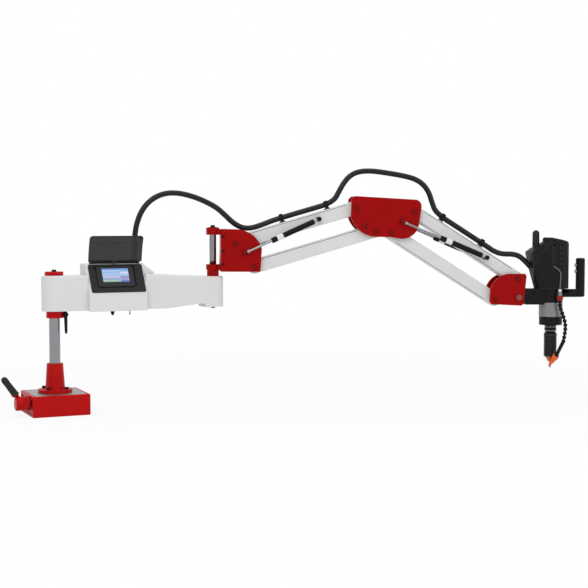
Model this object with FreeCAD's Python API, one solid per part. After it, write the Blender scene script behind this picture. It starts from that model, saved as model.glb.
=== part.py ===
import FreeCAD, Part
import math
import os

# Arm tapping machine: a magnet base with a column, a swinging arm with a control console,
# two parallel linkages held up by gas springs, and a servo tapping head on the end.
# Millimetres. Origin: bottom of the base, under the column. +X along the arm, +Z up.
# The forearm and the head are drawn in their own frame, whose origin is the floor under
# the forearm post and whose X runs along the forearm; place() then turns them to rest.

V = FreeCAD.Vector

# ---- driving dimensions ---------------------------------------------------------------
RUN_FIT = 0.05            # radial clearance of a running fit
GAP = 0.3                 # clearance between faces that slide past each other
CUTTER_LEN = 2000.0       # longer than anything it bores

# magnet base
BASE_L = 200.0
BASE_W = 200.0
BASE_H = 72.0
BASE_WALL = 8.0
BASE_EDGE_R = 7.0
BASE_RIM = 12.0           # width of the painted rim around the steel top plate
TOP_PLATE_T = 14.0

# column and its flange
COLUMN_R = 19.0
COLUMN_TOP_Z = 479.0
FLANGE_R = 59.0
FLANGE_T = 12.0
CONE_R1 = 34.0
CONE_R2 = 28.0
CONE_H = 89.0
FLANGE_BOLT_PCD = 92.0
FLANGE_BOLT_R = 4.0
CAP_R = 32.0
CAP_T = 12.0
CAP_BOLT_R = 5.0
CAP_BOLT_IN = 24.0        # depth of the cap bolt in the column
BIG_HEAD_R = 8.0          # head of the cap bolt and of the forearm post's upper bolt
BIG_HEAD_H = 7.0
FLANGE_BOLT_IN = 13.0     # depth of the flange bolts in the magnet block
SHAFT_ROOM = 12.0         # room for the switch shaft at the end of the magnet block

# magnet switch on the end of the base
SWITCH_Y = -41.0
SWITCH_Z = 44.0
SWITCH_HUB_R = 24.0
SWITCH_HUB_LEN = 48.0
SWITCH_DISC_R = 27.0
SWITCH_DISC_T = 12.0
SWITCH_GRIP_OUT = 43.0
SWITCH_GRIP_UP = 60.0
SWITCH_GRIP_R1 = 13.0
SWITCH_GRIP_R2 = 11.5
SWITCH_STUB_R = 8.0
SWITCH_STUB_LEN = 14.0

# clamp collar under the arm
COLLAR_R = 28.0
COLLAR_H = 23.0
COLLAR_SLIT = 3.0
COLLAR_EAR = 13.0
COLLAR_SCREW_R = 4.0
CLAMP_SCREW_X = 35.0
CLAMP_HUB_R = 9.0
CLAMP_HUB_T = 10.0
CLAMP_LEVER_LEN = 62.0
CLAMP_LEVER_R1 = 5.0
CLAMP_LEVER_R2 = 3.6

# arm
ARM_REACH = 586.0         # column axis to forearm post axis
ARM_BOTTOM_Z = 355.0
ARM_H = 123.0             # height at the column
ARM_END_H = 111.0         # height at the post
ARM_ROOT_R = 44.0
ARM_END_R = 37.0
ARM_TAPER_LEN = 236.0     # from the start of the falling top to the post axis
ARM_RISE_LEN = 186.0      # from the start of the rising underside to the post axis
ARM_RISE = 13.0
ARM_WALL = 8.0
ARM_EDGE_R = 8.0
BUSH_WALL = 3.0
BUSH_LEN = 30.0
BUSH_FLANGE_T = 1.0

# console
CONSOLE_X0 = 109.0
CONSOLE_X1 = 318.0
CONSOLE_FRONT_Y = -60.0
CONSOLE_BACK_Y = 70.0
CONSOLE_SILL_Z = 416.0    # foot of the sloping face
CONSOLE_TOP_Z = 516.0
CONSOLE_FOOT_Z = 352.0
CONSOLE_WALL = 3.0
FAIRING_LEN = 42.0
FAIRING_END_Z = 484.0
FRAME_T = 3.0
FRAME_MARGIN = 4.0
HMI_W = 132.0
HMI_H = 80.0
HMI_T = 3.0
SCREEN_W = 95.0
SCREEN_H = 54.0
BOARD_T = 1.6

# lid over the panel
LID_LEN = 97.0
LID_T = 2.5
LID_LEAN = -16.0          # degrees behind the vertical when open, less than 0 in front
LID_LIP = 4.0
LID_BOW = 3.0             # how far the lid bows backwards
LID_PIN_R = 2.0
LID_KNUCKLE_R = 4.5
LID_KNUCKLE_LEN = 78.0
LID_STAND_OFF = 9.0

# toggle switch and glands
TOGGLE_X = 271.0
TOGGLE_R = 5.0
TOGGLE_BALL_R = 2.4
TOGGLE_PIVOT = 4.0        # pivot height above the underside of the arm
TOGGLE_LEVER_LEN = 13.0
TOGGLE_LEVER_R = 1.7
POWER_GLAND_X = 208.0
GLAND_R = 11.0
GLAND_AT = (303.0, 45.0)

# forearm post and clevis
POST_R = 12.5
POST_DEPTH = 70.0
FOOT_BOLT_R = 4.0         # bolt that holds the post from below
FOOT_HEAD_R = 7.0
FOOT_HEAD_H = 6.0
TOP_BOLT_R = 5.0          # bolt that holds the clevis down on the post
TOP_BOLT_IN = 20.0
THRUST_R = 21.5
THRUST_H = 23.0
HUB_R = 24.0
LOWER_HUB_H = 19.0
UPPER_HUB_Z = 616.0
UPPER_HUB_H = 26.0
BRIDGE_X0 = 27.0
BRIDGE_X1 = 47.0
PLATE_T = 8.0
PLATE_CORNER_R = 5.0
PLATE_GAP = 60.0          # clear width between the two plates of each pair
FOREARM_YAW = -17.0       # forearm against the arm at rest, degrees

# linkages
LINK_LEN = 465.0
LINK_SLOPE_1 = 16.25      # upper link of the first pair, degrees above level
LINK_SLOPE_2 = -32.3
TUBE_H = 50.0
TUBE_W = 40.0
TUBE_WALL = 3.0
TUBE_EDGE_R = 4.0
PIN_R = 7.0
PIN_HEAD_R = 9.0
PIN_HEAD_T = 6.0
LINK_HUB_R = 16.0
P1 = (80.0, 584.0)
LINK_DROP_1 = (70.0, -85.0)    # first pair: from the upper pivot to the lower pivot
R1_FROM_Q1 = (214.6, -14.0)
LINK_DROP_2 = (-85.0, -77.5)

# gas springs
SPRING_Y = 54.0
SPRING_R = 10.0
SPRING_BORE_R = 8.5
SPRING_ROD_R = 4.0
SPRING_TUBE_LEN = 170.0
SPRING_EYE_LEN = 20.0
SPRING_EYE_R = 8.5
SPRING_STUD_R = 5.0
SPRING_BALL_R = 8.0
SPRING_GLAND_T = 8.0
SPRING_PISTON_T = 8.0
SPRING_NUT_R = 6.0
SPRING_NUT_LEN = 11.0
SPRING_END_GAP = 2.4      # between the rod end and the ball of its foot stud
SPRING_1_FOOT = (32.5, -34.5)   # foot stud from the upper pivot of its plates
SPRING_1_ALONG = 316.0          # head stud along the upper link
SPRING_2_FOOT = (-49.5, -36.5)
SPRING_2_ALONG = 318.0
SPRING_1_INSIDE = 34.0          # length of rod inside the tube, up to the piston
SPRING_2_INSIDE = 34.0

# tapping head
TILT_DROP = (2.9, -70.65)  # tilt pin from the upper pivot of the wrist
TILT_PIN_R = 8.0
TILT_KNOB_R = 11.0
TILT_KNOB_T = 12.0
SPINDLE_OUT = 136.0       # how far each piece of the head lies out from the tilt pin
BLOCK_OUT = 31.0
COVER_OUT = 153.0
FIN_OUT = 47.0
GRIP_OUT = 250.0
KNOB_OUT = 76.0
BLOCK_DROP = 28.0         # heights from the tilt pin: DROP is below it, RISE above
HEAD_RISE = 31.0
GEARBOX_DROP = 74.0
FLANGE_DROP = 21.0
COLLAR2_DROP = 105.5
CHUCK_TOP_DROP = 132.0
CHUCK_DROP = 226.0
TAP_TIP_DROP = 270.0
COVER_TOP_RISE = 223.0
GRIP_TOP_RISE = 145.0
HANDLE_RISE = 13.0
BUTTON_RISES = (118.0, 95.0)
VALVE_FROM_TILT = (152.0, -58.5)
VALVE_DROP = 4.0
HEAD_R = 44.0
GEARBOX_WALL = 6.0
BEARING_R = 22.0
SHAFT_R = 10.0
COLLAR2_R = 43.0
NECK_R = 21.5
CHUCK_R = 24.5
SLEEVE_WALL = 4.0
SLEEVE_TRAVEL = 6.0
NOSE_MOUTH_R = 19.0       # collet nose where it leaves the sleeve
NOSE_TIP_R = 9.0
NOSE_LEN = 18.0
CORE_RISE = 8.0           # foot of the chuck's core above the foot of its sleeve
COUPLING_R = 12.0
HEAD_BORE_R = 16.0
TAP_R = 4.0
TAP_IN = 18.0             # length of tap held inside the chuck
COVER_R = 49.0
COVER_WALL = 3.0
FIN_Y = 40.0
MOTOR_W = 60.0
MOTOR_H = 150.0
MOTOR_EDGE_R = 6.0
VENT_R = 4.2
VENT_STEP = 20.0
VENT_DROP = 29.0          # top row of vents below the top of the cover
COVER_EDGE_R = 9.0
REAR_GRIP_R = 13.0
REAR_GRIP_RISES = (155.0, 206.0)
GRIP_R = 17.0
HANDLE_T = 29.0
BUTTON_R = 6.2
BUTTON_TRAVEL = 3.0
VALVE_KNOB_R = 14.0
VALVE_STEM_R = 5.0
HOSE_R = 7.7
CONDUIT_R = 10.0
CLIP_RISE = 17.0          # conduit centre above the top of its link
CLIPS_1 = (190.0, 362.0)  # places of the clips along each upper link
CLIPS_2 = (106.0, 283.0)

# ---- derived places -------------------------------------------------------------------
def polar(origin, length, angle):
    a = math.radians(angle)
    return (origin[0] + length * math.cos(a), origin[1] + length * math.sin(a))


def add(a, b):
    return (a[0] + b[0], a[1] + b[1])


P2 = add(P1, LINK_DROP_1)
Q1 = polar(P1, LINK_LEN, LINK_SLOPE_1)
Q2 = add(Q1, LINK_DROP_1)
R1 = add(Q1, R1_FROM_Q1)
R2 = add(R1, LINK_DROP_2)
S1 = polar(R1, LINK_LEN, LINK_SLOPE_2)
S2 = add(S1, LINK_DROP_2)
A1 = add(P1, SPRING_1_FOOT)
B1 = polar(P1, SPRING_1_ALONG, LINK_SLOPE_1)
A2 = add(R1, SPRING_2_FOOT)
TILT_AT = add(S1, TILT_DROP)
SPINDLE_X = TILT_AT[0] + SPINDLE_OUT
BLOCK_X0 = TILT_AT[0] + BLOCK_OUT
COVER_X = TILT_AT[0] + COVER_OUT
FIN_X0 = TILT_AT[0] + FIN_OUT
GRIP_X = TILT_AT[0] + GRIP_OUT
KNOB_X = TILT_AT[0] + KNOB_OUT
VALVE_AT = (TILT_AT[0] + VALVE_FROM_TILT[0], VALVE_FROM_TILT[1])
BLOCK_Z0 = TILT_AT[1] - BLOCK_DROP
HEAD_Z = TILT_AT[1] + HEAD_RISE           # top of the head flange
GEARBOX_Z = TILT_AT[1] - GEARBOX_DROP
FLANGE_Z = TILT_AT[1] - FLANGE_DROP
COLLAR2_Z = TILT_AT[1] - COLLAR2_DROP
CHUCK_TOP_Z = TILT_AT[1] - CHUCK_TOP_DROP
CHUCK_Z = TILT_AT[1] - CHUCK_DROP
TAP_TIP_Z = TILT_AT[1] - TAP_TIP_DROP
COVER_TOP_Z = TILT_AT[1] + COVER_TOP_RISE
GRIP_TOP_Z = TILT_AT[1] + GRIP_TOP_RISE
HANDLE_Z = TILT_AT[1] + HANDLE_RISE
BUTTON_Z = [TILT_AT[1] + rise for rise in BUTTON_RISES]
VALVE_Z = TILT_AT[1] - VALVE_DROP
B2 = polar(R1, SPRING_2_ALONG, LINK_SLOPE_2)
PLATE_IN = PLATE_GAP / 2
PLATE_OUT = PLATE_IN + PLATE_T
ARM_TOP_Z = ARM_BOTTOM_Z + ARM_H
ARM_TAPER_X = ARM_REACH - ARM_TAPER_LEN
ARM_RISE_X = ARM_REACH - ARM_RISE_LEN
ARM_END_Z = ARM_BOTTOM_Z + ARM_END_H
PANEL_SLOPE = math.atan2(0.0 - CONSOLE_FRONT_Y, CONSOLE_TOP_Z - CONSOLE_SILL_Z)
PANEL_LEN = math.hypot(CONSOLE_FRONT_Y, CONSOLE_TOP_Z - CONSOLE_SILL_Z)
PANEL_DOWN = (-math.sin(PANEL_SLOPE), -math.cos(PANEL_SLOPE))   # (y, z) down the face
PANEL_OUT = (-math.cos(PANEL_SLOPE), math.sin(PANEL_SLOPE))     # (y, z) off the face
LID_HINGE = (PANEL_OUT[0] * LID_STAND_OFF, CONSOLE_TOP_Z + PANEL_OUT[1] * LID_STAND_OFF)


# ---- helpers --------------------------------------------------------------------------
os.makedirs("parts", exist_ok=True)


def place(shape):
    """Turn a forearm shape from its own frame to its rest place on the arm."""
    out = shape.copy()
    out.rotate(V(0, 0, 0), V(0, 0, 1), FOREARM_YAW)
    out.translate(V(ARM_REACH, 0, 0))
    return out


def save(node, *shapes, forearm=False):
    solids = []
    for shape in shapes:
        solids += shape.Solids
    if forearm:
        solids = [place(s) for s in solids]
    whole = solids[0] if len(solids) == 1 else Part.makeCompound(solids)
    whole.exportStep("parts/" + node + ".step")


def box(x0, x1, y0, y1, z0, z1):
    return Part.makeBox(x1 - x0, y1 - y0, z1 - z0, V(x0, y0, z0))


def rod(start, end, r):
    way = V(*end) - V(*start)
    return Part.makeCylinder(r, way.Length, V(*start), way)


def upright(x, y, z0, z1, r):
    return Part.makeCylinder(r, z1 - z0, V(x, y, z0))


def through(x, y, r):
    """An upright cutter that passes everything."""
    return upright(x, y, -CUTTER_LEN, CUTTER_LEN, r)


def across(at, y0, y1, r):
    """A round bar along Y at a place (x, z)."""
    return Part.makeCylinder(r, y1 - y0, V(at[0], y0, at[1]), V(0, 1, 0))


def cone(start, end, r1, r2):
    way = V(*end) - V(*start)
    return Part.makeCone(r1, r2, way.Length, V(*start), way)


def outline(points, y0, y1):
    """A plate in the XZ plane between y0 and y1. A point may be (x, z), or
    (mid, end) for an arc through mid to end."""
    here = V(points[0][0], y0, points[0][1])
    first = here
    edges = []
    for point in points[1:] + [points[0]]:
        if isinstance(point[0], tuple):
            mid, end = V(point[0][0], y0, point[0][1]), V(point[1][0], y0, point[1][1])
            edges.append(Part.Arc(here, mid, end).toShape())
        else:
            end = V(point[0], y0, point[1])
            edges.append(Part.makeLine(here, end))
        here = end
    assert (here - first).Length < 1e-6
    return Part.Face(Part.Wire(edges)).extrude(V(0, y1 - y0, 0))


def profile_yz(points, x0, x1):
    """An extrusion along X of straight-sided (y, z) points."""
    corners = [V(x0, y, z) for y, z in points]
    return Part.Face(Part.makePolygon(corners + corners[:1])).extrude(V(x1 - x0, 0, 0))


def fuse(first, *others):
    return first.multiFuse(list(others)).removeSplitter()


def cut(first, *others):
    out = first
    for other in others:
        out = out.cut(other)
    return out


def edges_where(shape, test):
    return [e for e in shape.Edges if test(e)]


def along(edge, axis):
    """True if a straight edge runs along the axis."""
    if edge.Curve.TypeId != "Part::GeomLine":
        return False
    return abs(edge.tangentAt(edge.FirstParameter).normalize().dot(axis)) > 0.999


def both_sides(make):
    """The front and the back copy of something drawn for the front (-Y) side."""
    front = make()
    back = front.mirror(V(0, 0, 0), V(0, 1, 0))
    return [front, back]


def socket_screw(x, y, z, r, length, head_r, head_h):
    """Screw with its head standing up from z and its shank down from z."""
    head = upright(x, y, z, z + head_h, head_r)
    head = head.makeChamfer(head_r * 0.12, [e for e in head.Edges if e.BoundBox.ZMin > z + head_h / 2
                                             and e.BoundBox.XLength > head_r])
    hexagon = [V(x + head_r * 0.5 * math.cos(math.radians(60 * i)),
                 y + head_r * 0.5 * math.sin(math.radians(60 * i)), z + head_h * 0.4)
               for i in range(6)]
    socket = Part.Face(Part.makePolygon(hexagon + hexagon[:1])).extrude(V(0, 0, head_h))
    return head.cut(socket).fuse(upright(x, y, z - length, z, r)).removeSplitter()


# ---- magnet base ----------------------------------------------------------------------
def make_base():
    hx, hy = BASE_L / 2, BASE_W / 2
    shell = box(-hx, hx, -hy, hy, 0, BASE_H)
    shell = shell.makeFillet(BASE_EDGE_R, edges_where(shell, lambda e: along(e, V(0, 0, 1))))
    shell = shell.makeFillet(BASE_EDGE_R * 0.6, edges_where(
        shell, lambda e: e.BoundBox.ZMin > BASE_H - 0.1))
    ix, iy = hx - BASE_WALL, hy - BASE_WALL
    rx, ry = hx - BASE_RIM, hy - BASE_RIM
    plate_z = BASE_H - TOP_PLATE_T
    shell = cut(shell, box(-ix, ix, -iy, iy, -1, plate_z), box(-rx, rx, -ry, ry, 1, BASE_H + 1))
    recess = box(-hx - 1, -hx + BASE_WALL / 2, -hy + BASE_RIM, hy - BASE_RIM, 6, BASE_H - BASE_RIM)
    shaft_hole = rod((-hx - 1, SWITCH_Y, SWITCH_Z), (-ix + 1, SWITCH_Y, SWITCH_Z), COLUMN_R * 0.42)
    shell = cut(shell, recess, shaft_hole)
    save("base_cover", shell)

    clear = GAP / 2
    plate = box(-rx + clear, rx - clear, -ry + clear, ry - clear, plate_z, BASE_H)
    bolts = [(FLANGE_BOLT_PCD / 2 * math.cos(math.radians(45 + 90 * i)),
              FLANGE_BOLT_PCD / 2 * math.sin(math.radians(45 + 90 * i))) for i in range(4)]
    for x, y in bolts:
        plate = plate.cut(upright(x, y, plate_z - 1, BASE_H + 1, FLANGE_BOLT_R))
    save("base_top_plate", plate)

    magnet = box(-ix + clear + SHAFT_ROOM, ix - clear, -iy + clear, iy - clear, 0, plate_z)
    for slot_y in (-0.75 * ry, -0.25 * ry, 0.25 * ry, 0.75 * ry):
        magnet = magnet.cut(box(-ix, ix, slot_y - 2, slot_y + 2, -1, 5))
    for x, y in bolts:
        magnet = magnet.cut(upright(x, y, plate_z - FLANGE_BOLT_IN - 1, plate_z + 1, FLANGE_BOLT_R))
    save("magnet_block", magnet)

    flange_z = BASE_H + FLANGE_T
    flange = upright(0, 0, BASE_H, flange_z, FLANGE_R)
    flange = flange.makeFillet(2.0, edges_where(flange, lambda e: e.BoundBox.ZMin > flange_z - 0.1
                                                 and e.BoundBox.XLength > FLANGE_R))
    boss = Part.makeCone(CONE_R1, CONE_R2, CONE_H, V(0, 0, flange_z))
    flange = fuse(flange, boss)
    flange = flange.cut(upright(0, 0, BASE_H - 1, flange_z + CONE_H + 1, COLUMN_R))
    for x, y in bolts:
        flange = flange.cut(upright(x, y, BASE_H - 1, flange_z + 1, FLANGE_BOLT_R))
    save("column_flange", flange)
    cap_z = COLUMN_TOP_Z + GAP
    cap_bolt = socket_screw(0, 0, cap_z + CAP_T, CAP_BOLT_R, CAP_T + CAP_BOLT_IN,
                            BIG_HEAD_R, BIG_HEAD_H)
    save("flange_and_cap_bolts", cap_bolt, *[
        socket_screw(x, y, flange_z, FLANGE_BOLT_R, FLANGE_T + TOP_PLATE_T + FLANGE_BOLT_IN,
                     FLANGE_BOLT_R * 1.6, FLANGE_BOLT_R * 1.9) for x, y in bolts])

    column = upright(0, 0, BASE_H, COLUMN_TOP_Z, COLUMN_R)
    column = column.cut(upright(0, 0, COLUMN_TOP_Z - CAP_BOLT_IN - 6, COLUMN_TOP_Z + 1, CAP_BOLT_R))
    save("column", column)
    cap = upright(0, 0, COLUMN_TOP_Z, cap_z + CAP_T, CAP_R)
    under = upright(0, 0, COLUMN_TOP_Z - 1, cap_z, CAP_R + 1).cut(
        upright(0, 0, COLUMN_TOP_Z - 1, cap_z, COLUMN_R))
    cap = cap.cut(under)
    cap = cap.makeFillet(3.0, edges_where(cap, lambda e: e.BoundBox.ZMin > cap_z + CAP_T - 0.1))
    save("column_cap", cap.cut(through(0, 0, CAP_BOLT_R)))


def make_switch():
    face = -BASE_L / 2 - GAP
    end = face - SWITCH_HUB_LEN
    disc = rod((face, SWITCH_Y, SWITCH_Z), (face - SWITCH_DISC_T, SWITCH_Y, SWITCH_Z), SWITCH_DISC_R)
    hub = rod((face, SWITCH_Y, SWITCH_Z), (end, SWITCH_Y, SWITCH_Z), SWITCH_HUB_R)
    shaft = rod((face + 14, SWITCH_Y, SWITCH_Z), (face - 5, SWITCH_Y, SWITCH_Z),
                COLUMN_R * 0.42 - RUN_FIT)
    hub = fuse(hub, disc, shaft)
    hub = hub.makeFillet(4.0, edges_where(hub, lambda e: e.BoundBox.XMax < end + 0.1))
    way = V(-SWITCH_GRIP_OUT, 0, SWITCH_GRIP_UP).normalize()
    root = V(end + SWITCH_HUB_R * 0.6, SWITCH_Y, SWITCH_Z + SWITCH_HUB_R * 0.55)
    neck = root + way * (SWITCH_STUB_LEN + 6)
    stub = rod(tuple(root), tuple(neck), SWITCH_STUB_R)
    hub = fuse(hub, stub)
    length = math.hypot(SWITCH_GRIP_OUT, SWITCH_GRIP_UP)
    tip = neck + way * (length - 8)
    grip = cone(tuple(neck), tuple(tip), SWITCH_GRIP_R1, SWITCH_GRIP_R2)
    ball = Part.makeSphere(SWITCH_GRIP_R2, tip)
    save("magnet_switch", hub, fuse(grip, ball))


def make_collar():
    top = ARM_BOTTOM_Z - GAP - BUSH_FLANGE_T
    low = top - COLLAR_H
    mid = (top + low) / 2
    ear_x = COLLAR_R + COLLAR_EAR
    ears = box(COLUMN_R, ear_x, -COLLAR_EAR, COLLAR_EAR, low, top)
    body = fuse(upright(0, 0, low, top, COLLAR_R), ears)
    body = cut(body, upright(0, 0, low - 1, top + 1, COLUMN_R),
               box(COLUMN_R / 2, ear_x + 1, -COLLAR_SLIT / 2, COLLAR_SLIT / 2, low - 1, top + 1))
    screw_x = CLAMP_SCREW_X
    body = body.cut(across((screw_x, mid), -COLLAR_EAR - 1, COLLAR_EAR + 1,
                           COLLAR_SCREW_R + RUN_FIT))
    save("clamp_collar", body)
    hub_y = -COLLAR_EAR - GAP
    hub = across((screw_x, mid), hub_y - CLAMP_HUB_T, hub_y, CLAMP_HUB_R)
    screw = across((screw_x, mid), hub_y - 1, COLLAR_EAR + 4, COLLAR_SCREW_R)
    lever = cone((screw_x, hub_y - CLAMP_HUB_T / 2, mid),
                 (screw_x, hub_y - CLAMP_HUB_T / 2 - 4, mid - CLAMP_LEVER_LEN),
                 CLAMP_LEVER_R1, CLAMP_LEVER_R2)
    end = Part.makeSphere(CLAMP_LEVER_R1, V(screw_x, hub_y - CLAMP_HUB_T / 2 - 4,
                                            mid - CLAMP_LEVER_LEN))
    save("clamp_lever", fuse(hub, screw, lever, end))


# ---- arm ------------------------------------------------------------------------------
def arm_plan(shrink, z0, z1):
    """The arm's tapered plan between two heights, its sides moved in by shrink."""
    r0, r1 = ARM_ROOT_R - shrink, ARM_END_R - shrink
    lean = math.asin((r0 - r1) / ARM_REACH)
    c, s = math.cos(lean), math.sin(lean)
    a, b = V(r0 * s, r0 * c, z0), V(ARM_REACH + r1 * s, r1 * c, z0)
    d, e = V(ARM_REACH + r1 * s, -r1 * c, z0), V(r0 * s, -r0 * c, z0)
    edges = [Part.makeLine(a, b), Part.Arc(b, V(ARM_REACH + r1, 0, z0), d).toShape(),
             Part.makeLine(d, e), Part.Arc(e, V(-r0, 0, z0), a).toShape()]
    return Part.Face(Part.Wire(edges)).extrude(V(0, 0, z1 - z0))


def make_arm():
    wide = ARM_ROOT_R + 10
    body = arm_plan(0, ARM_BOTTOM_Z, ARM_TOP_Z)
    fall = outline([(ARM_TAPER_X, ARM_TOP_Z), (ARM_REACH - ARM_END_R, ARM_END_Z),
                    (ARM_REACH + wide, ARM_END_Z), (ARM_REACH + wide, ARM_TOP_Z + 10),
                    (ARM_TAPER_X, ARM_TOP_Z + 10)], -wide, wide)
    rise_end = ARM_REACH - ARM_END_R - 8
    rise = outline([(ARM_RISE_X, ARM_BOTTOM_Z), (rise_end - 24, ARM_BOTTOM_Z + ARM_RISE),
                    (rise_end, ARM_BOTTOM_Z + ARM_RISE), (rise_end + 6, ARM_BOTTOM_Z - 5),
                    (ARM_RISE_X, ARM_BOTTOM_Z - 5)], -wide, wide)
    body = cut(body, fall, rise)
    top_edges = edges_where(body, lambda e: e.BoundBox.ZMin > ARM_END_Z - 1
                            and not along(e, V(0, 1, 0)))
    body = body.makeFillet(ARM_EDGE_R, top_edges)
    cavity = arm_plan(ARM_WALL, ARM_BOTTOM_Z - 20, ARM_END_Z - ARM_WALL - 4)
    ends = [through(0, 0, ARM_ROOT_R + 2), through(ARM_REACH, 0, ARM_END_R + 14)]
    body = body.cut(cut(cavity, *ends))
    bore_r = COLUMN_R + RUN_FIT + BUSH_WALL
    body = cut(body, through(0, 0, bore_r),
               upright(ARM_REACH, 0, ARM_END_Z - POST_DEPTH, ARM_END_Z + 1, POST_R),
               through(ARM_REACH, 0, FOOT_BOLT_R))
    wiring_hole = box(CONSOLE_X0 + 60, CONSOLE_X1 - 40, -20, 20, ARM_TOP_Z - 40, ARM_TOP_Z + 1)
    notch = panel_front(CONSOLE_WALL + GAP, CONSOLE_X0 - GAP, CONSOLE_X1 + GAP)
    save("arm_casting", cut(body, wiring_hole, notch))

    plate = arm_plan(ARM_WALL + GAP, ARM_BOTTOM_Z, ARM_BOTTOM_Z + 3)
    plate = plate.common(box(ARM_ROOT_R + 10, ARM_RISE_X - 4, -wide, wide, ARM_BOTTOM_Z, ARM_TOP_Z))
    plate = cut(plate, through(POWER_GLAND_X, 0, GLAND_R * 0.6), through(TOGGLE_X, 0, TOGGLE_R))
    save("arm_bottom_cover", plate, *underside_fittings())

    ring = place(upright(0, 0, ARM_END_Z, ARM_END_Z + THRUST_H, THRUST_R).cut(
        through(0, 0, POST_R)))
    bushes = [ring]
    for z0, z1, fz in ((ARM_BOTTOM_Z, ARM_BOTTOM_Z + BUSH_LEN, ARM_BOTTOM_Z - BUSH_FLANGE_T),
                       (ARM_TOP_Z - BUSH_LEN, ARM_TOP_Z, ARM_TOP_Z)):
        sleeve = fuse(upright(0, 0, z0, z1, bore_r),
                      upright(0, 0, fz, fz + BUSH_FLANGE_T, bore_r + 3))
        bushes.append(sleeve.cut(through(0, 0, COLUMN_R + RUN_FIT)))
    save("arm_bearings", *bushes)


def panel_point(down, out):
    """(y, z) at a distance down the sloping face and off it."""
    return (PANEL_DOWN[0] * down + PANEL_OUT[0] * out,
            CONSOLE_TOP_Z + PANEL_DOWN[1] * down + PANEL_OUT[1] * out)


def panel_front(inset, x0, x1):
    """Everything in front of the sloping face, when the face is moved in by inset."""
    top, foot = panel_point(-PANEL_LEN, -inset), panel_point(PANEL_LEN, -inset)
    front_y = CONSOLE_FRONT_Y * 3
    return profile_yz([top, foot, (front_y, foot[1]), (front_y, top[1])], x0, x1)


def console_profile(inset):
    """(y, z) outline of the console, moved in by inset."""
    s = inset / math.cos(PANEL_SLOPE)
    t = math.tan(PANEL_SLOPE / 2) * inset
    return [(CONSOLE_FRONT_Y + inset, CONSOLE_FOOT_Z + inset),
            (CONSOLE_FRONT_Y + inset, CONSOLE_SILL_Z - t),
            (inset * math.tan(PANEL_SLOPE) - inset / 2 + s / 2, CONSOLE_TOP_Z - inset),
            (CONSOLE_BACK_Y - inset, CONSOLE_TOP_Z - inset),
            (CONSOLE_BACK_Y - inset, CONSOLE_FOOT_Z + 40 + inset),
            (CONSOLE_BACK_Y - 18, CONSOLE_FOOT_Z + inset)]


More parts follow.
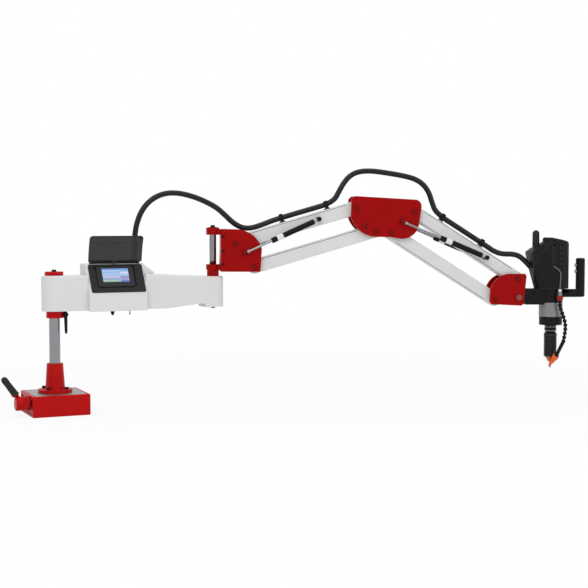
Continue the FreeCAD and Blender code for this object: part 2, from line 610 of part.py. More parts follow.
def make_console():
    outer = profile_yz(console_profile(0), CONSOLE_X0, CONSOLE_X1)
    outer = outer.makeFillet(6.0, edges_where(
        outer, lambda e: not along(e, V(1, 0, 0)) and e.BoundBox.XMax < CONSOLE_X0 + 1))
    fairing = outline([(CONSOLE_X1 - 1, ARM_TOP_Z + GAP), (CONSOLE_X1 - 1, CONSOLE_TOP_Z),
                       (CONSOLE_X1, CONSOLE_TOP_Z), (CONSOLE_X1 + FAIRING_LEN, FAIRING_END_Z),
                       (CONSOLE_X1 + FAIRING_LEN, ARM_TOP_Z + GAP)],
                      PANEL_DOWN[0] * 12, CONSOLE_BACK_Y - 30)
    outer = fuse(outer, fairing)
    w = CONSOLE_WALL
    inner = profile_yz(console_profile(w), CONSOLE_X0 + w, CONSOLE_X1 - w)
    arm_room = box(CONSOLE_X0 - 1, CONSOLE_X1 + FAIRING_LEN + 1, -ARM_ROOT_R - GAP,
                   ARM_ROOT_R + GAP, CONSOLE_FOOT_Z - 1, ARM_TOP_Z + GAP)
    arm_room = arm_room.cut(panel_front(CONSOLE_WALL, CONSOLE_X0, CONSOLE_X1))
    shell = cut(outer, inner, arm_room)
    # wiring hole behind the panel, gland hole in the top
    gland = upright(GLAND_AT[0], GLAND_AT[1], CONSOLE_TOP_Z - 10, CONSOLE_TOP_Z + 2, GLAND_R * 0.8)
    lugs = []
    for x0 in lug_places():
        lug = fuse(Part.makeCylinder(LID_KNUCKLE_R, 6, V(x0, LID_HINGE[0], LID_HINGE[1]), V(1, 0, 0)),
                   profile_yz([(LID_HINGE[0] - 4, LID_HINGE[1] - 1), (LID_HINGE[0] + 4, LID_HINGE[1]),
                               (LID_HINGE[0] + 9, CONSOLE_TOP_Z - 1),
                               (LID_HINGE[0] + 6, CONSOLE_TOP_Z - 1)], x0, x0 + 6))
        lugs.append(lug)
    shell = fuse(shell, *lugs)
    shell = cut(shell, gland, rod((CONSOLE_X0, *LID_HINGE), (CONSOLE_X1, *LID_HINGE), LID_PIN_R))
    pins = [rod((x0, *LID_HINGE), (x0 + 12 + LID_KNUCKLE_LEN, *LID_HINGE), LID_PIN_R)
            for x0 in lug_places()[::2]]
    save("console_housing", shell, *pins)

    # panel frame on the sloping face, the display and its screen
    def on_panel(x0, x1, down0, down1, out0, out1):
        """A block on the sloping face: distances down the face and off it."""
        corners = ((down0, out0), (down1, out0), (down1, out1), (down0, out1))
        return profile_yz([panel_point(*corner) for corner in corners], x0, x1)

    fx0, fx1 = CONSOLE_X0 + FRAME_MARGIN + 5, CONSOLE_X1 - FRAME_MARGIN
    frame = on_panel(fx0, fx1, FRAME_MARGIN, PANEL_LEN - 1, 0, FRAME_T)
    hx = CONSOLE_X0 + 36
    top = 14.0
    bezel = on_panel(hx, hx + HMI_W, top, top + HMI_H, FRAME_T, FRAME_T + HMI_T)
    sx, sd = hx + 19, top + 8
    screen = on_panel(sx, sx + SCREEN_W, sd, sd + SCREEN_H, FRAME_T + HMI_T / 2, FRAME_T + HMI_T)
    save("panel_frame", frame)
    save("display", bezel.cut(screen), on_panel(sx, sx + SCREEN_W, sd, sd + SCREEN_H,
                                                FRAME_T + HMI_T / 2, FRAME_T + HMI_T - 0.4))
    board = box(CONSOLE_X0 + 12, CONSOLE_X1 - 12, 2, CONSOLE_BACK_Y - 10, ARM_TOP_Z + 8,
                ARM_TOP_Z + 8 + BOARD_T)
    drive = box(CONSOLE_X0 + 40, CONSOLE_X0 + 120, 8, 50, ARM_TOP_Z + 8 + BOARD_T, CONSOLE_TOP_Z - 9)
    feet = [upright(x, y, ARM_TOP_Z, ARM_TOP_Z + 8, 3.0)
            for x in (CONSOLE_X0 + 20, CONSOLE_X1 - 20) for y in (8, 30)]
    save("control_board", fuse(board, drive, *feet))


def lug_places():
    """X of each hinge lug: a pair of lugs around each lid knuckle."""
    step = 6 + LID_KNUCKLE_LEN
    left = CONSOLE_X0 + 14
    right = CONSOLE_X1 - 20 - step
    return [left, left + step, right, right + step]


def make_lid():
    lean = math.radians(LID_LEAN)
    up = (math.sin(lean), math.cos(lean))        # (y, z) along the open lid
    out = (-math.cos(lean), math.sin(lean))      # (y, z) off its front face
    x0, x1 = CONSOLE_X0 + 10, CONSOLE_X1 - 5

    def at(a, b, x=x0):
        return V(x, LID_HINGE[0] + up[0] * a + out[0] * b, LID_HINGE[1] + up[1] * a + out[1] * b)
    start = LID_KNUCKLE_R + 1.5
    half = LID_T / 2
    front = Part.Arc(at(start, half), at(LID_LEN / 2, half - LID_BOW), at(LID_LEN - 2, half)).toShape()
    lip = [Part.makeLine(at(LID_LEN - 2, half), at(LID_LEN - 2, half + LID_LIP)),
           Part.makeLine(at(LID_LEN - 2, half + LID_LIP), at(LID_LEN, half + LID_LIP)),
           Part.makeLine(at(LID_LEN, half + LID_LIP), at(LID_LEN, -half))]
    back = Part.Arc(at(LID_LEN, -half), at(LID_LEN / 2, -half - LID_BOW), at(start, -half)).toShape()
    close = Part.makeLine(at(start, -half), at(start, half))
    leaf = Part.Face(Part.Wire([front] + lip + [back, close])).extrude(V(x1 - x0, 0, 0))
    knuckles = []
    lugs = lug_places()
    for lug_x in lugs[::2]:
        kx0, kx1 = lug_x + 6 + GAP, lug_x + 6 + LID_KNUCKLE_LEN - GAP
        tube = Part.makeCylinder(LID_KNUCKLE_R, kx1 - kx0, V(kx0, *LID_HINGE), V(1, 0, 0))
        tab = Part.Face(Part.makePolygon([at(0, -half, kx0), at(start + 2, -half, kx0),
                                          at(start + 2, half, kx0), at(0, half, kx0),
                                          at(0, -half, kx0)])).extrude(V(kx1 - kx0, 0, 0))
        knuckles += [tube, tab]
    lid = fuse(leaf, *knuckles)
    lid = lid.cut(rod((CONSOLE_X0, *LID_HINGE), (CONSOLE_X1, *LID_HINGE), LID_PIN_R + RUN_FIT))
    save("panel_lid", lid)


def underside_fittings():
    """The power cable gland and the toggle switch body under the arm."""
    px, tx, z = POWER_GLAND_X, TOGGLE_X, ARM_BOTTOM_Z
    gland = fuse(upright(px, 0, z, z + 8, GLAND_R * 0.6),
                 Part.makeCone(3.0, GLAND_R * 0.75, 12, V(px, 0, z - 12)))
    gland = gland.cut(upright(px, 0, z - 20, z + 20, 2.2))
    body = fuse(upright(tx, 0, z, z + 14, TOGGLE_R), upright(tx, 0, z - 3, z, TOGGLE_R + 2))
    mouth = Part.makeCone(TOGGLE_R - 0.6, TOGGLE_BALL_R + RUN_FIT, 5.0, V(tx, 0, z - 3.01))
    socket = upright(tx, 0, z, z + TOGGLE_PIVOT + 4, TOGGLE_BALL_R + RUN_FIT)
    return [gland, cut(body, mouth, socket)]


def make_glands():
    x, y = GLAND_AT
    base = upright(x, y, CONSOLE_TOP_Z, CONSOLE_TOP_Z + 5, GLAND_R)
    nut = upright(x, y, CONSOLE_TOP_Z + 5, CONSOLE_TOP_Z + 16, GLAND_R + 1.5)
    shank = upright(x, y, CONSOLE_TOP_Z - 8, CONSOLE_TOP_Z, GLAND_R * 0.8)
    gland = fuse(base, nut, shank).cut(through(x, y, CONDUIT_R - 2.5))
    save("conduit_gland", gland)
    tx, z = TOGGLE_X, ARM_BOTTOM_Z
    tip = z - TOGGLE_LEVER_LEN
    lever = fuse(rod((tx, 0, tip), (tx, 0, z + TOGGLE_PIVOT), TOGGLE_LEVER_R),
                 Part.makeSphere(TOGGLE_BALL_R, V(tx, 0, z + TOGGLE_PIVOT)),
                 Part.makeSphere(TOGGLE_LEVER_R * 1.5, V(tx, 0, tip)))
    save("toggle_lever", lever)


# ---- forearm: post, clevis ------------------------------------------------------------
def make_post():
    top = UPPER_HUB_Z + UPPER_HUB_H
    post = upright(0, 0, ARM_END_Z - POST_DEPTH, top - 1, POST_R)
    post = post.cut(upright(0, 0, top - TOP_BOLT_IN - 5, top, TOP_BOLT_R))
    foot_bolt = fuse(upright(0, 0, ARM_BOTTOM_Z - FOOT_HEAD_H, ARM_BOTTOM_Z, FOOT_HEAD_R),
                     upright(0, 0, ARM_BOTTOM_Z, ARM_END_Z - POST_DEPTH, FOOT_BOLT_R))
    washer = upright(0, 0, top - 1, top + 2, HUB_R * 0.62)
    hub_clear = upright(0, 0, top - 2, top + GAP, HUB_R).cut(upright(0, 0, top - 2, top + GAP, POST_R))
    bolt = socket_screw(0, 0, top + 2, TOP_BOLT_R, TOP_BOLT_IN, BIG_HEAD_R, BIG_HEAD_H)
    save("forearm_post", fuse(post, foot_bolt), fuse(washer.cut(hub_clear), bolt), forearm=True)


def make_clevis():
    low = ARM_END_Z + THRUST_H + GAP
    top = UPPER_HUB_Z + UPPER_HUB_H
    bore = POST_R + RUN_FIT + BUSH_WALL
    hubs = [upright(0, 0, low, low + LOWER_HUB_H, HUB_R + 1), upright(0, 0, UPPER_HUB_Z, top, HUB_R)]
    arms = [box(0, BRIDGE_X1, -HUB_R * 0.8, HUB_R * 0.8, low, low + LOWER_HUB_H),
            box(0, BRIDGE_X1, -HUB_R * 0.8, HUB_R * 0.8, UPPER_HUB_Z, top - 6)]
    bridge = box(BRIDGE_X0, BRIDGE_X1, -PLATE_IN, PLATE_IN, low, top - 6)
    bracket = fuse(bridge, *hubs, *arms)
    bracket = bracket.cut(through(0, 0, bore))
    bushes = []
    for z0, z1 in ((low, low + LOWER_HUB_H), (UPPER_HUB_Z, top)):
        bushes.append(upright(0, 0, z0, z1, bore).cut(upright(0, 0, z0 - 1, z1 + 1, POST_R + RUN_FIT)))
    save("clevis_bracket", bracket, *bushes, forearm=True)
    foot = low - 7
    points = [(25.0, foot), (29.0, top - 5), (P1[0] + 15, top - 7),
              ((P1[0] + 68, P1[1] + 26), (P1[0] + 96, P1[1] - 18)),
              (P2[0] + 21, foot + 6), ((P2[0] + 18.5, foot), (P2[0] + 12, foot - 1))]
    plates = both_sides(lambda: bored_plate(points, {PIN_R: [P1, P2], SPRING_STUD_R: [A1]}))
    save("clevis_plates", *plates, forearm=True)


def bored_plate(points, bores):
    """The front plate of a pair. bores are the places of its pins and studs by radius."""
    plate = outline(points, -PLATE_OUT, -PLATE_IN)
    plate = plate.makeFillet(PLATE_CORNER_R, edges_where(plate, lambda e: along(e, V(0, 1, 0))))
    for r, places in bores.items():
        for at in places:
            plate = plate.cut(across(at, -PLATE_OUT - 1, -PLATE_IN + 1, r))
    return plate


def pivot_pin(at):
    """Pin through both plates of a pair, with a round head and a nut."""
    shank = across(at, -PLATE_OUT, PLATE_OUT, PIN_R)
    head = across(at, -PLATE_OUT - PIN_HEAD_T, -PLATE_OUT, PIN_HEAD_R)
    nut = across(at, PLATE_OUT, PLATE_OUT + PIN_HEAD_T, PIN_HEAD_R)
    return fuse(shank, head, nut)


def spring_feet(at):
    """The two foot studs of a spring pair, each with the ball housing on it."""
    def one():
        stud = across(at, -SPRING_Y - 2, -PLATE_IN, SPRING_STUD_R)
        ball = Part.makeSphere(SPRING_BALL_R, V(at[0], -SPRING_Y, at[1]))
        neck = across(at, -SPRING_Y, -PLATE_OUT, SPRING_STUD_R + 1.5)
        return fuse(stud, ball, neck)
    return both_sides(one)


# ---- links and springs ----------------------------------------------------------------
def link(start, end, slope, stud_along=None):
    """A box-section link between two pivots, with round ends and bored hubs."""
    length = math.hypot(end[0] - start[0], end[1] - start[1])
    half = TUBE_H / 2
    bar = box(0, length, -TUBE_W / 2, TUBE_W / 2, -half, half)
    bar = bar.makeFillet(TUBE_EDGE_R, edges_where(bar, lambda e: along(e, V(1, 0, 0))))
    inner = box(half, length - half, -TUBE_W / 2 + TUBE_WALL, TUBE_W / 2 - TUBE_WALL,
                -half + TUBE_WALL, half - TUBE_WALL)
    bar = bar.cut(inner)
    face = PLATE_IN - GAP
    for x in (0, length):
        bar = bar.fuse(across((x, 0), -TUBE_W / 2, TUBE_W / 2, half))
        bar = bar.fuse(across((x, 0), -face, face, LINK_HUB_R))
    bar = bar.removeSplitter()
    for x in (0, length):
        bar = bar.cut(across((x, 0), -face - 1, face + 1, PIN_R + RUN_FIT))
    if stud_along:
        bar = bar.cut(across((stud_along, 0), -TUBE_W, TUBE_W, SPRING_STUD_R))
    bar.rotate(V(0, 0, 0), V(0, 1, 0), -slope)
    bar.translate(V(start[0], 0, start[1]))
    return bar


def spring_heads(at):
    """Cross stud through the upper link, carrying both springs, with a nut on each end."""
    stud = across(at, -SPRING_Y - 9, SPRING_Y + 9, SPRING_STUD_R)
    collars = [across(at, y0, y1, SPRING_STUD_R + 3)
               for y0, y1 in ((-SPRING_Y + 6 + GAP, -TUBE_W / 2), (TUBE_W / 2, SPRING_Y - 6 - GAP),
                              (-SPRING_Y - 10, -SPRING_Y - 6 - GAP),
                              (SPRING_Y + 6 + GAP, SPRING_Y + 10))]
    return fuse(stud, *collars)


def gas_spring(head, foot, inside):
    """(tube, rod) of the front spring, drawn from its head stud to its foot stud."""
    length = math.hypot(foot[0] - head[0], foot[1] - head[1])
    reach = SPRING_EYE_LEN + SPRING_TUBE_LEN
    eye = across((0, 0), -6, 6, SPRING_EYE_R)
    neck = rod((0, 0, 0), (SPRING_EYE_LEN, 0, 0), 5.0)
    barrel = rod((SPRING_EYE_LEN, 0, 0), (reach, 0, 0), SPRING_R)
    tube = fuse(eye, neck, barrel)
    tube = cut(tube, rod((SPRING_EYE_LEN + 6, 0, 0), (reach - SPRING_GLAND_T, 0, 0), SPRING_BORE_R),
               rod((reach - SPRING_GLAND_T - 1, 0, 0), (reach + 1, 0, 0), SPRING_ROD_R + RUN_FIT),
               across((0, 0), -7, 7, SPRING_STUD_R + RUN_FIT))
    piston_x = reach - SPRING_GLAND_T - inside
    end = length - SPRING_BALL_R - SPRING_END_GAP
    shaft = rod((piston_x, 0, 0), (end, 0, 0), SPRING_ROD_R)
    piston = rod((piston_x - SPRING_PISTON_T, 0, 0), (piston_x, 0, 0), SPRING_BORE_R - RUN_FIT)
    nut = rod((end - SPRING_NUT_LEN, 0, 0), (end, 0, 0), SPRING_NUT_R)
    plunger = fuse(shaft, piston, nut)
    angle = math.degrees(math.atan2(foot[1] - head[1], foot[0] - head[0]))
    for shape in (tube, plunger):
        shape.rotate(V(0, 0, 0), V(0, 1, 0), -angle)
        shape.translate(V(head[0], -SPRING_Y, head[1]))
    return tube, plunger


def make_linkage(number, pivots, slope, along_stud, foot, head, inside, clips_along):
    top0, top1, low0, low1 = pivots
    save(f"link_{number}_upper", link(top0, top1, slope, along_stud), forearm=True)
    save(f"link_{number}_lower", link(low0, low1, slope), forearm=True)
    tube, plunger = gas_spring(head, foot, inside)
    save(f"spring_{number}_tubes", *both_sides(lambda: tube), forearm=True)
    save(f"spring_{number}_rods", *both_sides(lambda: plunger), forearm=True)
    clips = [clip(polar(top0, a, slope), slope) for a in clips_along]
    save(f"link_{number}_fittings", spring_heads(head), *clips, forearm=True)


def clip(at, slope):
    """Clip that holds the conduit above an upper link."""
    half = TUBE_H / 2
    centre = half + CLIP_RISE
    body = box(-6, 6, -CONDUIT_R - 4, CONDUIT_R + 4, half, centre + CONDUIT_R + 4)
    body = body.makeFillet(3.0, edges_where(body, lambda e: along(e, V(1, 0, 0))
                                             and e.BoundBox.ZMin > half + 1))
    foot = box(-11, 11, -TUBE_W / 2 + 5, TUBE_W / 2 - 5, half, half + 2.4)
    body = fuse(body, foot).cut(rod((-12, 0, centre), (12, 0, centre), CONDUIT_R))
    body.rotate(V(0, 0, 0), V(0, 1, 0), -slope)
    body.translate(V(at[0], 0, at[1]))
    return body


def make_clevis_pins():
    save("clevis_pins", pivot_pin(P1), pivot_pin(P2), *spring_feet(A1), forearm=True)


def make_elbow():
    qx, qz = Q1
    rx, rz = R1
    points = [(qx - 21, qz + 18), ((qx - 17, qz + 36), (qx + 2, qz + 42)), (rx - 1, rz + 44),
              ((rx + 18, rz + 37), (rx + 25, rz + 16)), (rx + 16, rz - 48),
              ((rx - 3, rz - 83), (rx - 61, rz - 98)), (R2[0] - 6, R2[1] - 16),
              (Q2[0] + 2, Q2[1] - 22), ((qx + 16, qz - 88), (qx - 23, qz - 34))]
    stop = (qx + 29.0, qz - 67.0)
    plates = both_sides(lambda: bored_plate(
        points, {PIN_R: [Q1, Q2, R1, R2, stop], SPRING_STUD_R: [A2]}))
    save("elbow_plates", *plates, forearm=True)
    stops = both_sides(lambda: fuse(across(stop, -PLATE_OUT, -PLATE_IN, PIN_R),
                                    across(stop, -PLATE_OUT - 4, -PLATE_OUT, PIN_HEAD_R)))
    save("elbow_pins", *[pivot_pin(at) for at in (Q1, Q2, R1, R2)], *stops, *spring_feet(A2),
         forearm=True)


def make_wrist():
    sx, sz = S1
    tx, tz = TILT_AT
    lx, lz = S2
    points = [(lx - 22, lz - 9), (lx - 15, lz - 18), (tx + 11, tz - 31), (tx + 20, tz - 24),
              (sx + 33, sz + 9), (sx + 27, sz + 17.5), (sx - 22, sz + 17.5),
              ((sx - 66, sz + 8), (lx - 15, lz + 49)), (lx - 19, lz + 41)]
    plates = both_sides(lambda: bored_plate(points, {PIN_R: [S1, S2], TILT_PIN_R: [TILT_AT]}))
    save("wrist_plates", *plates, forearm=True)
    brace = across((lx + 42.0, lz + 30.0), -PLATE_IN, PLATE_IN, PIN_R + 1)
    tilt_pin = fuse(across(TILT_AT, -PLATE_OUT, PLATE_OUT, TILT_PIN_R),
                    across(TILT_AT, PLATE_OUT, PLATE_OUT + 5, TILT_KNOB_R),
                    across(TILT_AT, -PLATE_OUT - 8, -PLATE_OUT, TILT_PIN_R * 0.5))
    save("wrist_pins", pivot_pin(S1), pivot_pin(S2), tilt_pin, brace, forearm=True)


# ---- tapping head ---------------------------------------------------------------------
def make_head():
    tx, tz = TILT_AT
    half = PLATE_IN - GAP
    block = box(BLOCK_X0, SPINDLE_X, -half, half, BLOCK_Z0, HEAD_Z)
    tongue = fuse(across(TILT_AT, -half, half, 22.0),
                  box(tx, BLOCK_X0 + 1, -half, half, tz - 22, tz + 22))
    flange = upright(SPINDLE_X, 0, FLANGE_Z, HEAD_Z, HEAD_R)
    block = fuse(block, tongue, flange)
    under = upright(SPINDLE_X, 0, BLOCK_Z0 - 1, FLANGE_Z, HEAD_R + GAP)
    block = cut(block, under, across(TILT_AT, -half - 1, half + 1, TILT_PIN_R + RUN_FIT),
                upright(SPINDLE_X, 0, FLANGE_Z - 1, HEAD_Z + 1, HEAD_BORE_R))
    save("head_block", block, forearm=True)
    knob = across(TILT_AT, -PLATE_OUT - GAP - TILT_KNOB_T, -PLATE_OUT - GAP, TILT_KNOB_R)
    knob = knob.makeFillet(2.5, edges_where(knob, lambda e: e.BoundBox.YMax < -PLATE_OUT - TILT_KNOB_T
                                             and e.BoundBox.XLength > TILT_KNOB_R))
    knob = knob.cut(across(TILT_AT, -PLATE_OUT - 8.5, -PLATE_OUT, TILT_PIN_R * 0.5 + RUN_FIT))
    save("tilt_knob", knob, forearm=True)
    box_out = upright(SPINDLE_X, 0, GEARBOX_Z, FLANGE_Z, HEAD_R)
    box_in = upright(SPINDLE_X, 0, GEARBOX_Z + GEARBOX_WALL, FLANGE_Z + 1, HEAD_R - GEARBOX_WALL)
    housing = cut(box_out, box_in, upright(SPINDLE_X, 0, GEARBOX_Z - 1, GEARBOX_Z + 20, BEARING_R))
    save("gearbox_housing", housing, forearm=True)
    ring = upright(SPINDLE_X, 0, COLLAR2_Z, GEARBOX_Z, COLLAR2_R)
    ring = ring.cut(upright(SPINDLE_X, 0, COLLAR2_Z - 1, GEARBOX_Z + 1, BEARING_R))
    save("gearbox_collar", ring, forearm=True)
    bearings = []
    for z in (COLLAR2_Z + 2, GEARBOX_Z - 10):
        bearings.append(upright(SPINDLE_X, 0, z, z + 12, BEARING_R).cut(
            upright(SPINDLE_X, 0, z - 1, z + 13, SHAFT_R + RUN_FIT)))
    save("spindle_bearings", *bearings, forearm=True)

    neck = upright(SPINDLE_X, 0, CHUCK_TOP_Z, COLLAR2_Z - GAP, NECK_R)
    shaft = upright(SPINDLE_X, 0, COLLAR2_Z - 2, GEARBOX_Z + 38, SHAFT_R)
    core = upright(SPINDLE_X, 0, CHUCK_Z + CORE_RISE, CHUCK_TOP_Z, CHUCK_R - SLEEVE_WALL - RUN_FIT)
    mouth = upright(SPINDLE_X, 0, CHUCK_Z, CHUCK_Z + CORE_RISE + 1, NOSE_MOUTH_R)
    nose = cone((SPINDLE_X, 0, CHUCK_Z), (SPINDLE_X, 0, CHUCK_Z - NOSE_LEN), NOSE_MOUTH_R, NOSE_TIP_R)
    spindle = fuse(neck, shaft, core, mouth, nose)
    tap_hole = upright(SPINDLE_X, 0, CHUCK_Z - NOSE_LEN - 1, CHUCK_Z + TAP_IN + 2, TAP_R)
    coupling = upright(SPINDLE_X, 0, GEARBOX_Z + 38, HEAD_Z + 4, COUPLING_R)
    save("spindle", spindle.cut(tap_hole), coupling, forearm=True)
    tap = fuse(upright(SPINDLE_X, 0, TAP_TIP_Z + 6, CHUCK_Z + TAP_IN, TAP_R),
               Part.makeCone(1.6, TAP_R, 6, V(SPINDLE_X, 0, TAP_TIP_Z)))
    save("tap", tap, forearm=True)
    sleeve = upright(SPINDLE_X, 0, CHUCK_Z, CHUCK_TOP_Z - SLEEVE_TRAVEL - GAP, CHUCK_R)
    sleeve = sleeve.makeFillet(2.0, edges_where(
        sleeve, lambda e: e.BoundBox.ZMax < CHUCK_Z + 0.1 and e.BoundBox.XLength > CHUCK_R))
    sleeve = sleeve.cut(upright(SPINDLE_X, 0, CHUCK_Z - 1, CHUCK_TOP_Z, CHUCK_R - SLEEVE_WALL))
    save("chuck_sleeve", sleeve, forearm=True)


def make_motor():
    z0, z1 = HEAD_Z, COVER_TOP_Z
    round_part = upright(COVER_X, 0, z0, z1, COVER_R)
    drum = fuse(round_part, outline([(FIN_X0 + 35, z0), (FIN_X0 + 9, z0 + 91), (FIN_X0, z0 + 137),
                                     (FIN_X0 + 18, z0 + 150), (COVER_X - 30, z1 - 12),
                                     (COVER_X, z1 - 12), (COVER_X, z0)], -FIN_Y, FIN_Y))
    lip = edges_where(drum, lambda e: e.BoundBox.ZMin > z1 - 0.1)
    drum = drum.makeFillet(COVER_EDGE_R, lip)
    w = COVER_WALL
    inner_round = upright(COVER_X, 0, z0 - 1, z1 - w - 4, COVER_R - w)
    inner_box = outline([(FIN_X0 + 35 + w, z0 - 1), (FIN_X0 + 9 + w, z0 + 91), (FIN_X0 + w + 2, z0 + 137),
                         (FIN_X0 + 18 + w, z0 + 150 - w), (COVER_X - 30, z1 - 12 - w),
                         (COVER_X, z1 - 12 - w), (COVER_X, z0 - 1)], -FIN_Y + w, FIN_Y - w)
    cover = cut(drum, inner_round, inner_box)
    vents = []
    for column, rows in ((COVER_X - 19, 4), (COVER_X + 8, 5)):
        for row in range(rows):
            z = z1 - VENT_DROP - VENT_STEP * row
            vents.append(rod((column, -COVER_R - 2, z), (column, -COVER_R + 14, z), VENT_R))
    save("motor_cover", cut(cover, *vents), forearm=True)
    half = MOTOR_W / 2
    motor = box(SPINDLE_X - half, SPINDLE_X + half, -half, half, z0, z0 + MOTOR_H)
    motor = motor.makeFillet(MOTOR_EDGE_R, edges_where(motor, lambda e: along(e, V(0, 0, 1))))
    motor = motor.cut(upright(SPINDLE_X, 0, z0 - 1, z0 + 10, 14.0))
    save("servo_motor", motor, forearm=True)
    foot, top = (z0 + rise for rise in REAR_GRIP_RISES)
    grip = fuse(rod((KNOB_X, 0, foot), (KNOB_X, 0, top), REAR_GRIP_R),
                Part.makeSphere(REAR_GRIP_R, V(KNOB_X, 0, top)))
    return grip.cut(drum)


def make_handle(rear_grip):
    t = HANDLE_T / 2
    reach = math.sqrt(HEAD_R ** 2 - t ** 2)
    bar = box(SPINDLE_X + reach - 6, GRIP_X, -t, t, HANDLE_Z - t, HANDLE_Z + t)
    bar = bar.cut(through(SPINDLE_X, 0, HEAD_R))
    grip = upright(GRIP_X, 0, HANDLE_Z - t, GRIP_TOP_Z, GRIP_R)
    grip = grip.makeFillet(6.0, edges_where(grip, lambda e: e.BoundBox.ZLength < 0.1))
    whole = fuse(bar, grip)
    whole = whole.cut(upright(COVER_X, 0, HEAD_Z - 0.1, COVER_TOP_Z, COVER_R + GAP))
    for z in BUTTON_Z:
        whole = whole.cut(rod((GRIP_X - GRIP_R - 6, 0, z), (GRIP_X - 4, 0, z), BUTTON_R + RUN_FIT))
    save("handles", whole, rear_grip, forearm=True)
    for name, z in zip(("upper", "lower"), BUTTON_Z):
        face = GRIP_X - GRIP_R - BUTTON_TRAVEL - 1.5
        button = rod((face, 0, z), (GRIP_X - 4 - BUTTON_TRAVEL - 1, 0, z), BUTTON_R)
        save(f"button_{name}", button, forearm=True)


def round_path(points, share=0.45):
    """Straight runs through the points, joined by tangent arcs, and the radii of the arcs."""
    pts = [V(*p) for p in points]
    edges, radii = [], []
    here = pts[0]
    for i in range(1, len(pts) - 1):
        a, b, c = pts[i - 1], pts[i], pts[i + 1]
        u, v = (b - a), (c - b)
        lu, lv = u.Length, v.Length
        u.normalize()
        v.normalize()
        turn = math.acos(max(-1, min(1, u.dot(v))))
        cutback = share * min(lu, lv)
        radius = cutback / math.tan(turn / 2)
        start, end = b - u * cutback, b + v * cutback
        inward = (v - u).normalize()
        centre = b + inward * (radius / math.cos(turn / 2))
        mid = centre - inward * radius
        edges.append(Part.makeLine(here, start))
        edges.append(Part.Arc(start, mid, end).toShape())
        radii.append(radius)
        here = end
    edges.append(Part.makeLine(here, pts[-1]))
    return Part.Wire(edges), radii


def pipe(name, points, r):
    wire, radii = round_path(points)
    way = V(*points[1]) - V(*points[0])
    ring = Part.Wire([Part.makeCircle(r, V(*points[0]), way)])
    solid = wire.makePipeShell([ring], True, False)
    volume = solid.Volume / (math.pi * r * r * wire.Length)
    print(name, "length", round(wire.Length, 1), "radii", [round(x) for x in radii],
          "volume ratio", round(volume, 4), "valid", solid.isValid())
    return solid


def between(a, b, share):
    return tuple(p + (q - p) * share for p, q in zip(a, b))


# ---- coolant ----------------------------------------------------------------------------
def from_tilt(x, y, z):
    """A place measured from the tilt pin."""
    return (TILT_AT[0] + x, y, TILT_AT[1] + z)


HOSE = [from_tilt(152, -58.5, -14), from_tilt(152, -58.5, -33), from_tilt(160.5, -58.5, -54),
        from_tilt(174, -58, -93.5), from_tilt(176, -57, -123), from_tilt(169.5, -53, -165)]
NOZZLE_MID = from_tilt(146.6, -42, -219)
NOZZLE_TIP = from_tilt(126.5, -16, -260)
ADAPTER_R = 8.0
ADAPTER_SEAT = 0.12       # share of the nozzle that the adapter reaches into
NOZZLE_MID_R = 12.0
NOZZLE_TIP_R = 3.0


def make_coolant():
    x, y = VALVE_AT
    arm = box(x - 8, x + 8, y, 0, VALVE_Z + 10, VALVE_Z + 24)
    arm = arm.cut(through(SPINDLE_X, 0, HEAD_R))
    body = fuse(upright(x, y, VALVE_Z - 10, VALVE_Z + 24, VALVE_STEM_R),
                upright(x, y, VALVE_Z + 10, VALVE_Z + 24, 8.0), arm)
    save("coolant_valve", body, forearm=True)
    save("coolant_knob", upright(x, y, VALVE_Z - 9, VALVE_Z + 9, VALVE_KNOB_R).cut(
        upright(x, y, VALVE_Z - 10, VALVE_Z + 10, VALVE_STEM_R + RUN_FIT)), forearm=True)
    end = HOSE[-1]
    nozzle = fuse(cone(end, between(NOZZLE_MID, NOZZLE_TIP, ADAPTER_SEAT), HOSE_R - 0.5, ADAPTER_R),
                  cone(NOZZLE_MID, NOZZLE_TIP, NOZZLE_MID_R, NOZZLE_TIP_R))
    save("coolant_hose", pipe("coolant_hose", HOSE, HOSE_R), nozzle, forearm=True)


# ---- conduit --------------------------------------------------------------------------
# Route of the conduit: gland, over the clevis, two clips, the loop over the elbow, two clips
# and into the head. The first stretch is in the arm's frame, the rest in the forearm's.
CONDUIT_ARM = [(303.0, 45.0, CONSOLE_TOP_Z + 16), (303.0, 45.0, 568.0), (304.0, 43.0, 612.0),
               (311.0, 38.0, 662.0), (332.0, 32.0, 712.0), (368.0, 26.0, 748.0),
               (412.0, 20.0, 766.0), (458.0, 15.0, 767.0), (505.0, 10.0, 757.0),
               (552.0, 5.0, 740.0)]
CONDUIT_CLEVIS = [(14.0, 0.0, 715.0), (44.0, 0.0, 688.0), (76.0, 0.0, 657.0),
                  (110.0, 0.0, 639.5), (142.0, 0.0, 640.0), (180.0, 0.0, 652.0)]
CONDUIT_LOOP = [(466.0, 0.0, 777.0), (483.0, 0.0, 807.0),
                (506.0, 0.0, 833.0), (539.0, 0.0, 848.0), (588.0, 0.0, 850.0),
                (646.0, 0.0, 842.0), (702.0, 0.0, 833.0), (750.0, 0.0, 821.0),
                (783.0, 0.0, 799.0), (803.0, 0.0, 769.0), (813.0, 0.0, 736.0)]
CONDUIT_HEAD = [from_tilt(-87, 0, 172), from_tilt(-55, 0, 160.5), from_tilt(-9, 0, 161),
                from_tilt(23, 0, 148), from_tilt(58, 0, 110)]
CLIP_RUN = 28.0           # how far the conduit runs straight before and after its clips


def turned(point):
    """A forearm point in the arm's frame."""
    out = V(*point)
    a = math.radians(FOREARM_YAW)
    return (ARM_REACH + out.x * math.cos(a) - out.y * math.sin(a),
            out.x * math.sin(a) + out.y * math.cos(a), out.z)


def over_link(start, slope, distance):
    """A conduit point above a link, at a distance along it."""
    a = math.radians(slope)
    rise = TUBE_H / 2 + CLIP_RISE
    x, z = polar(start, distance, slope)
    return (x - rise * math.sin(a), 0.0, z + rise * math.cos(a))


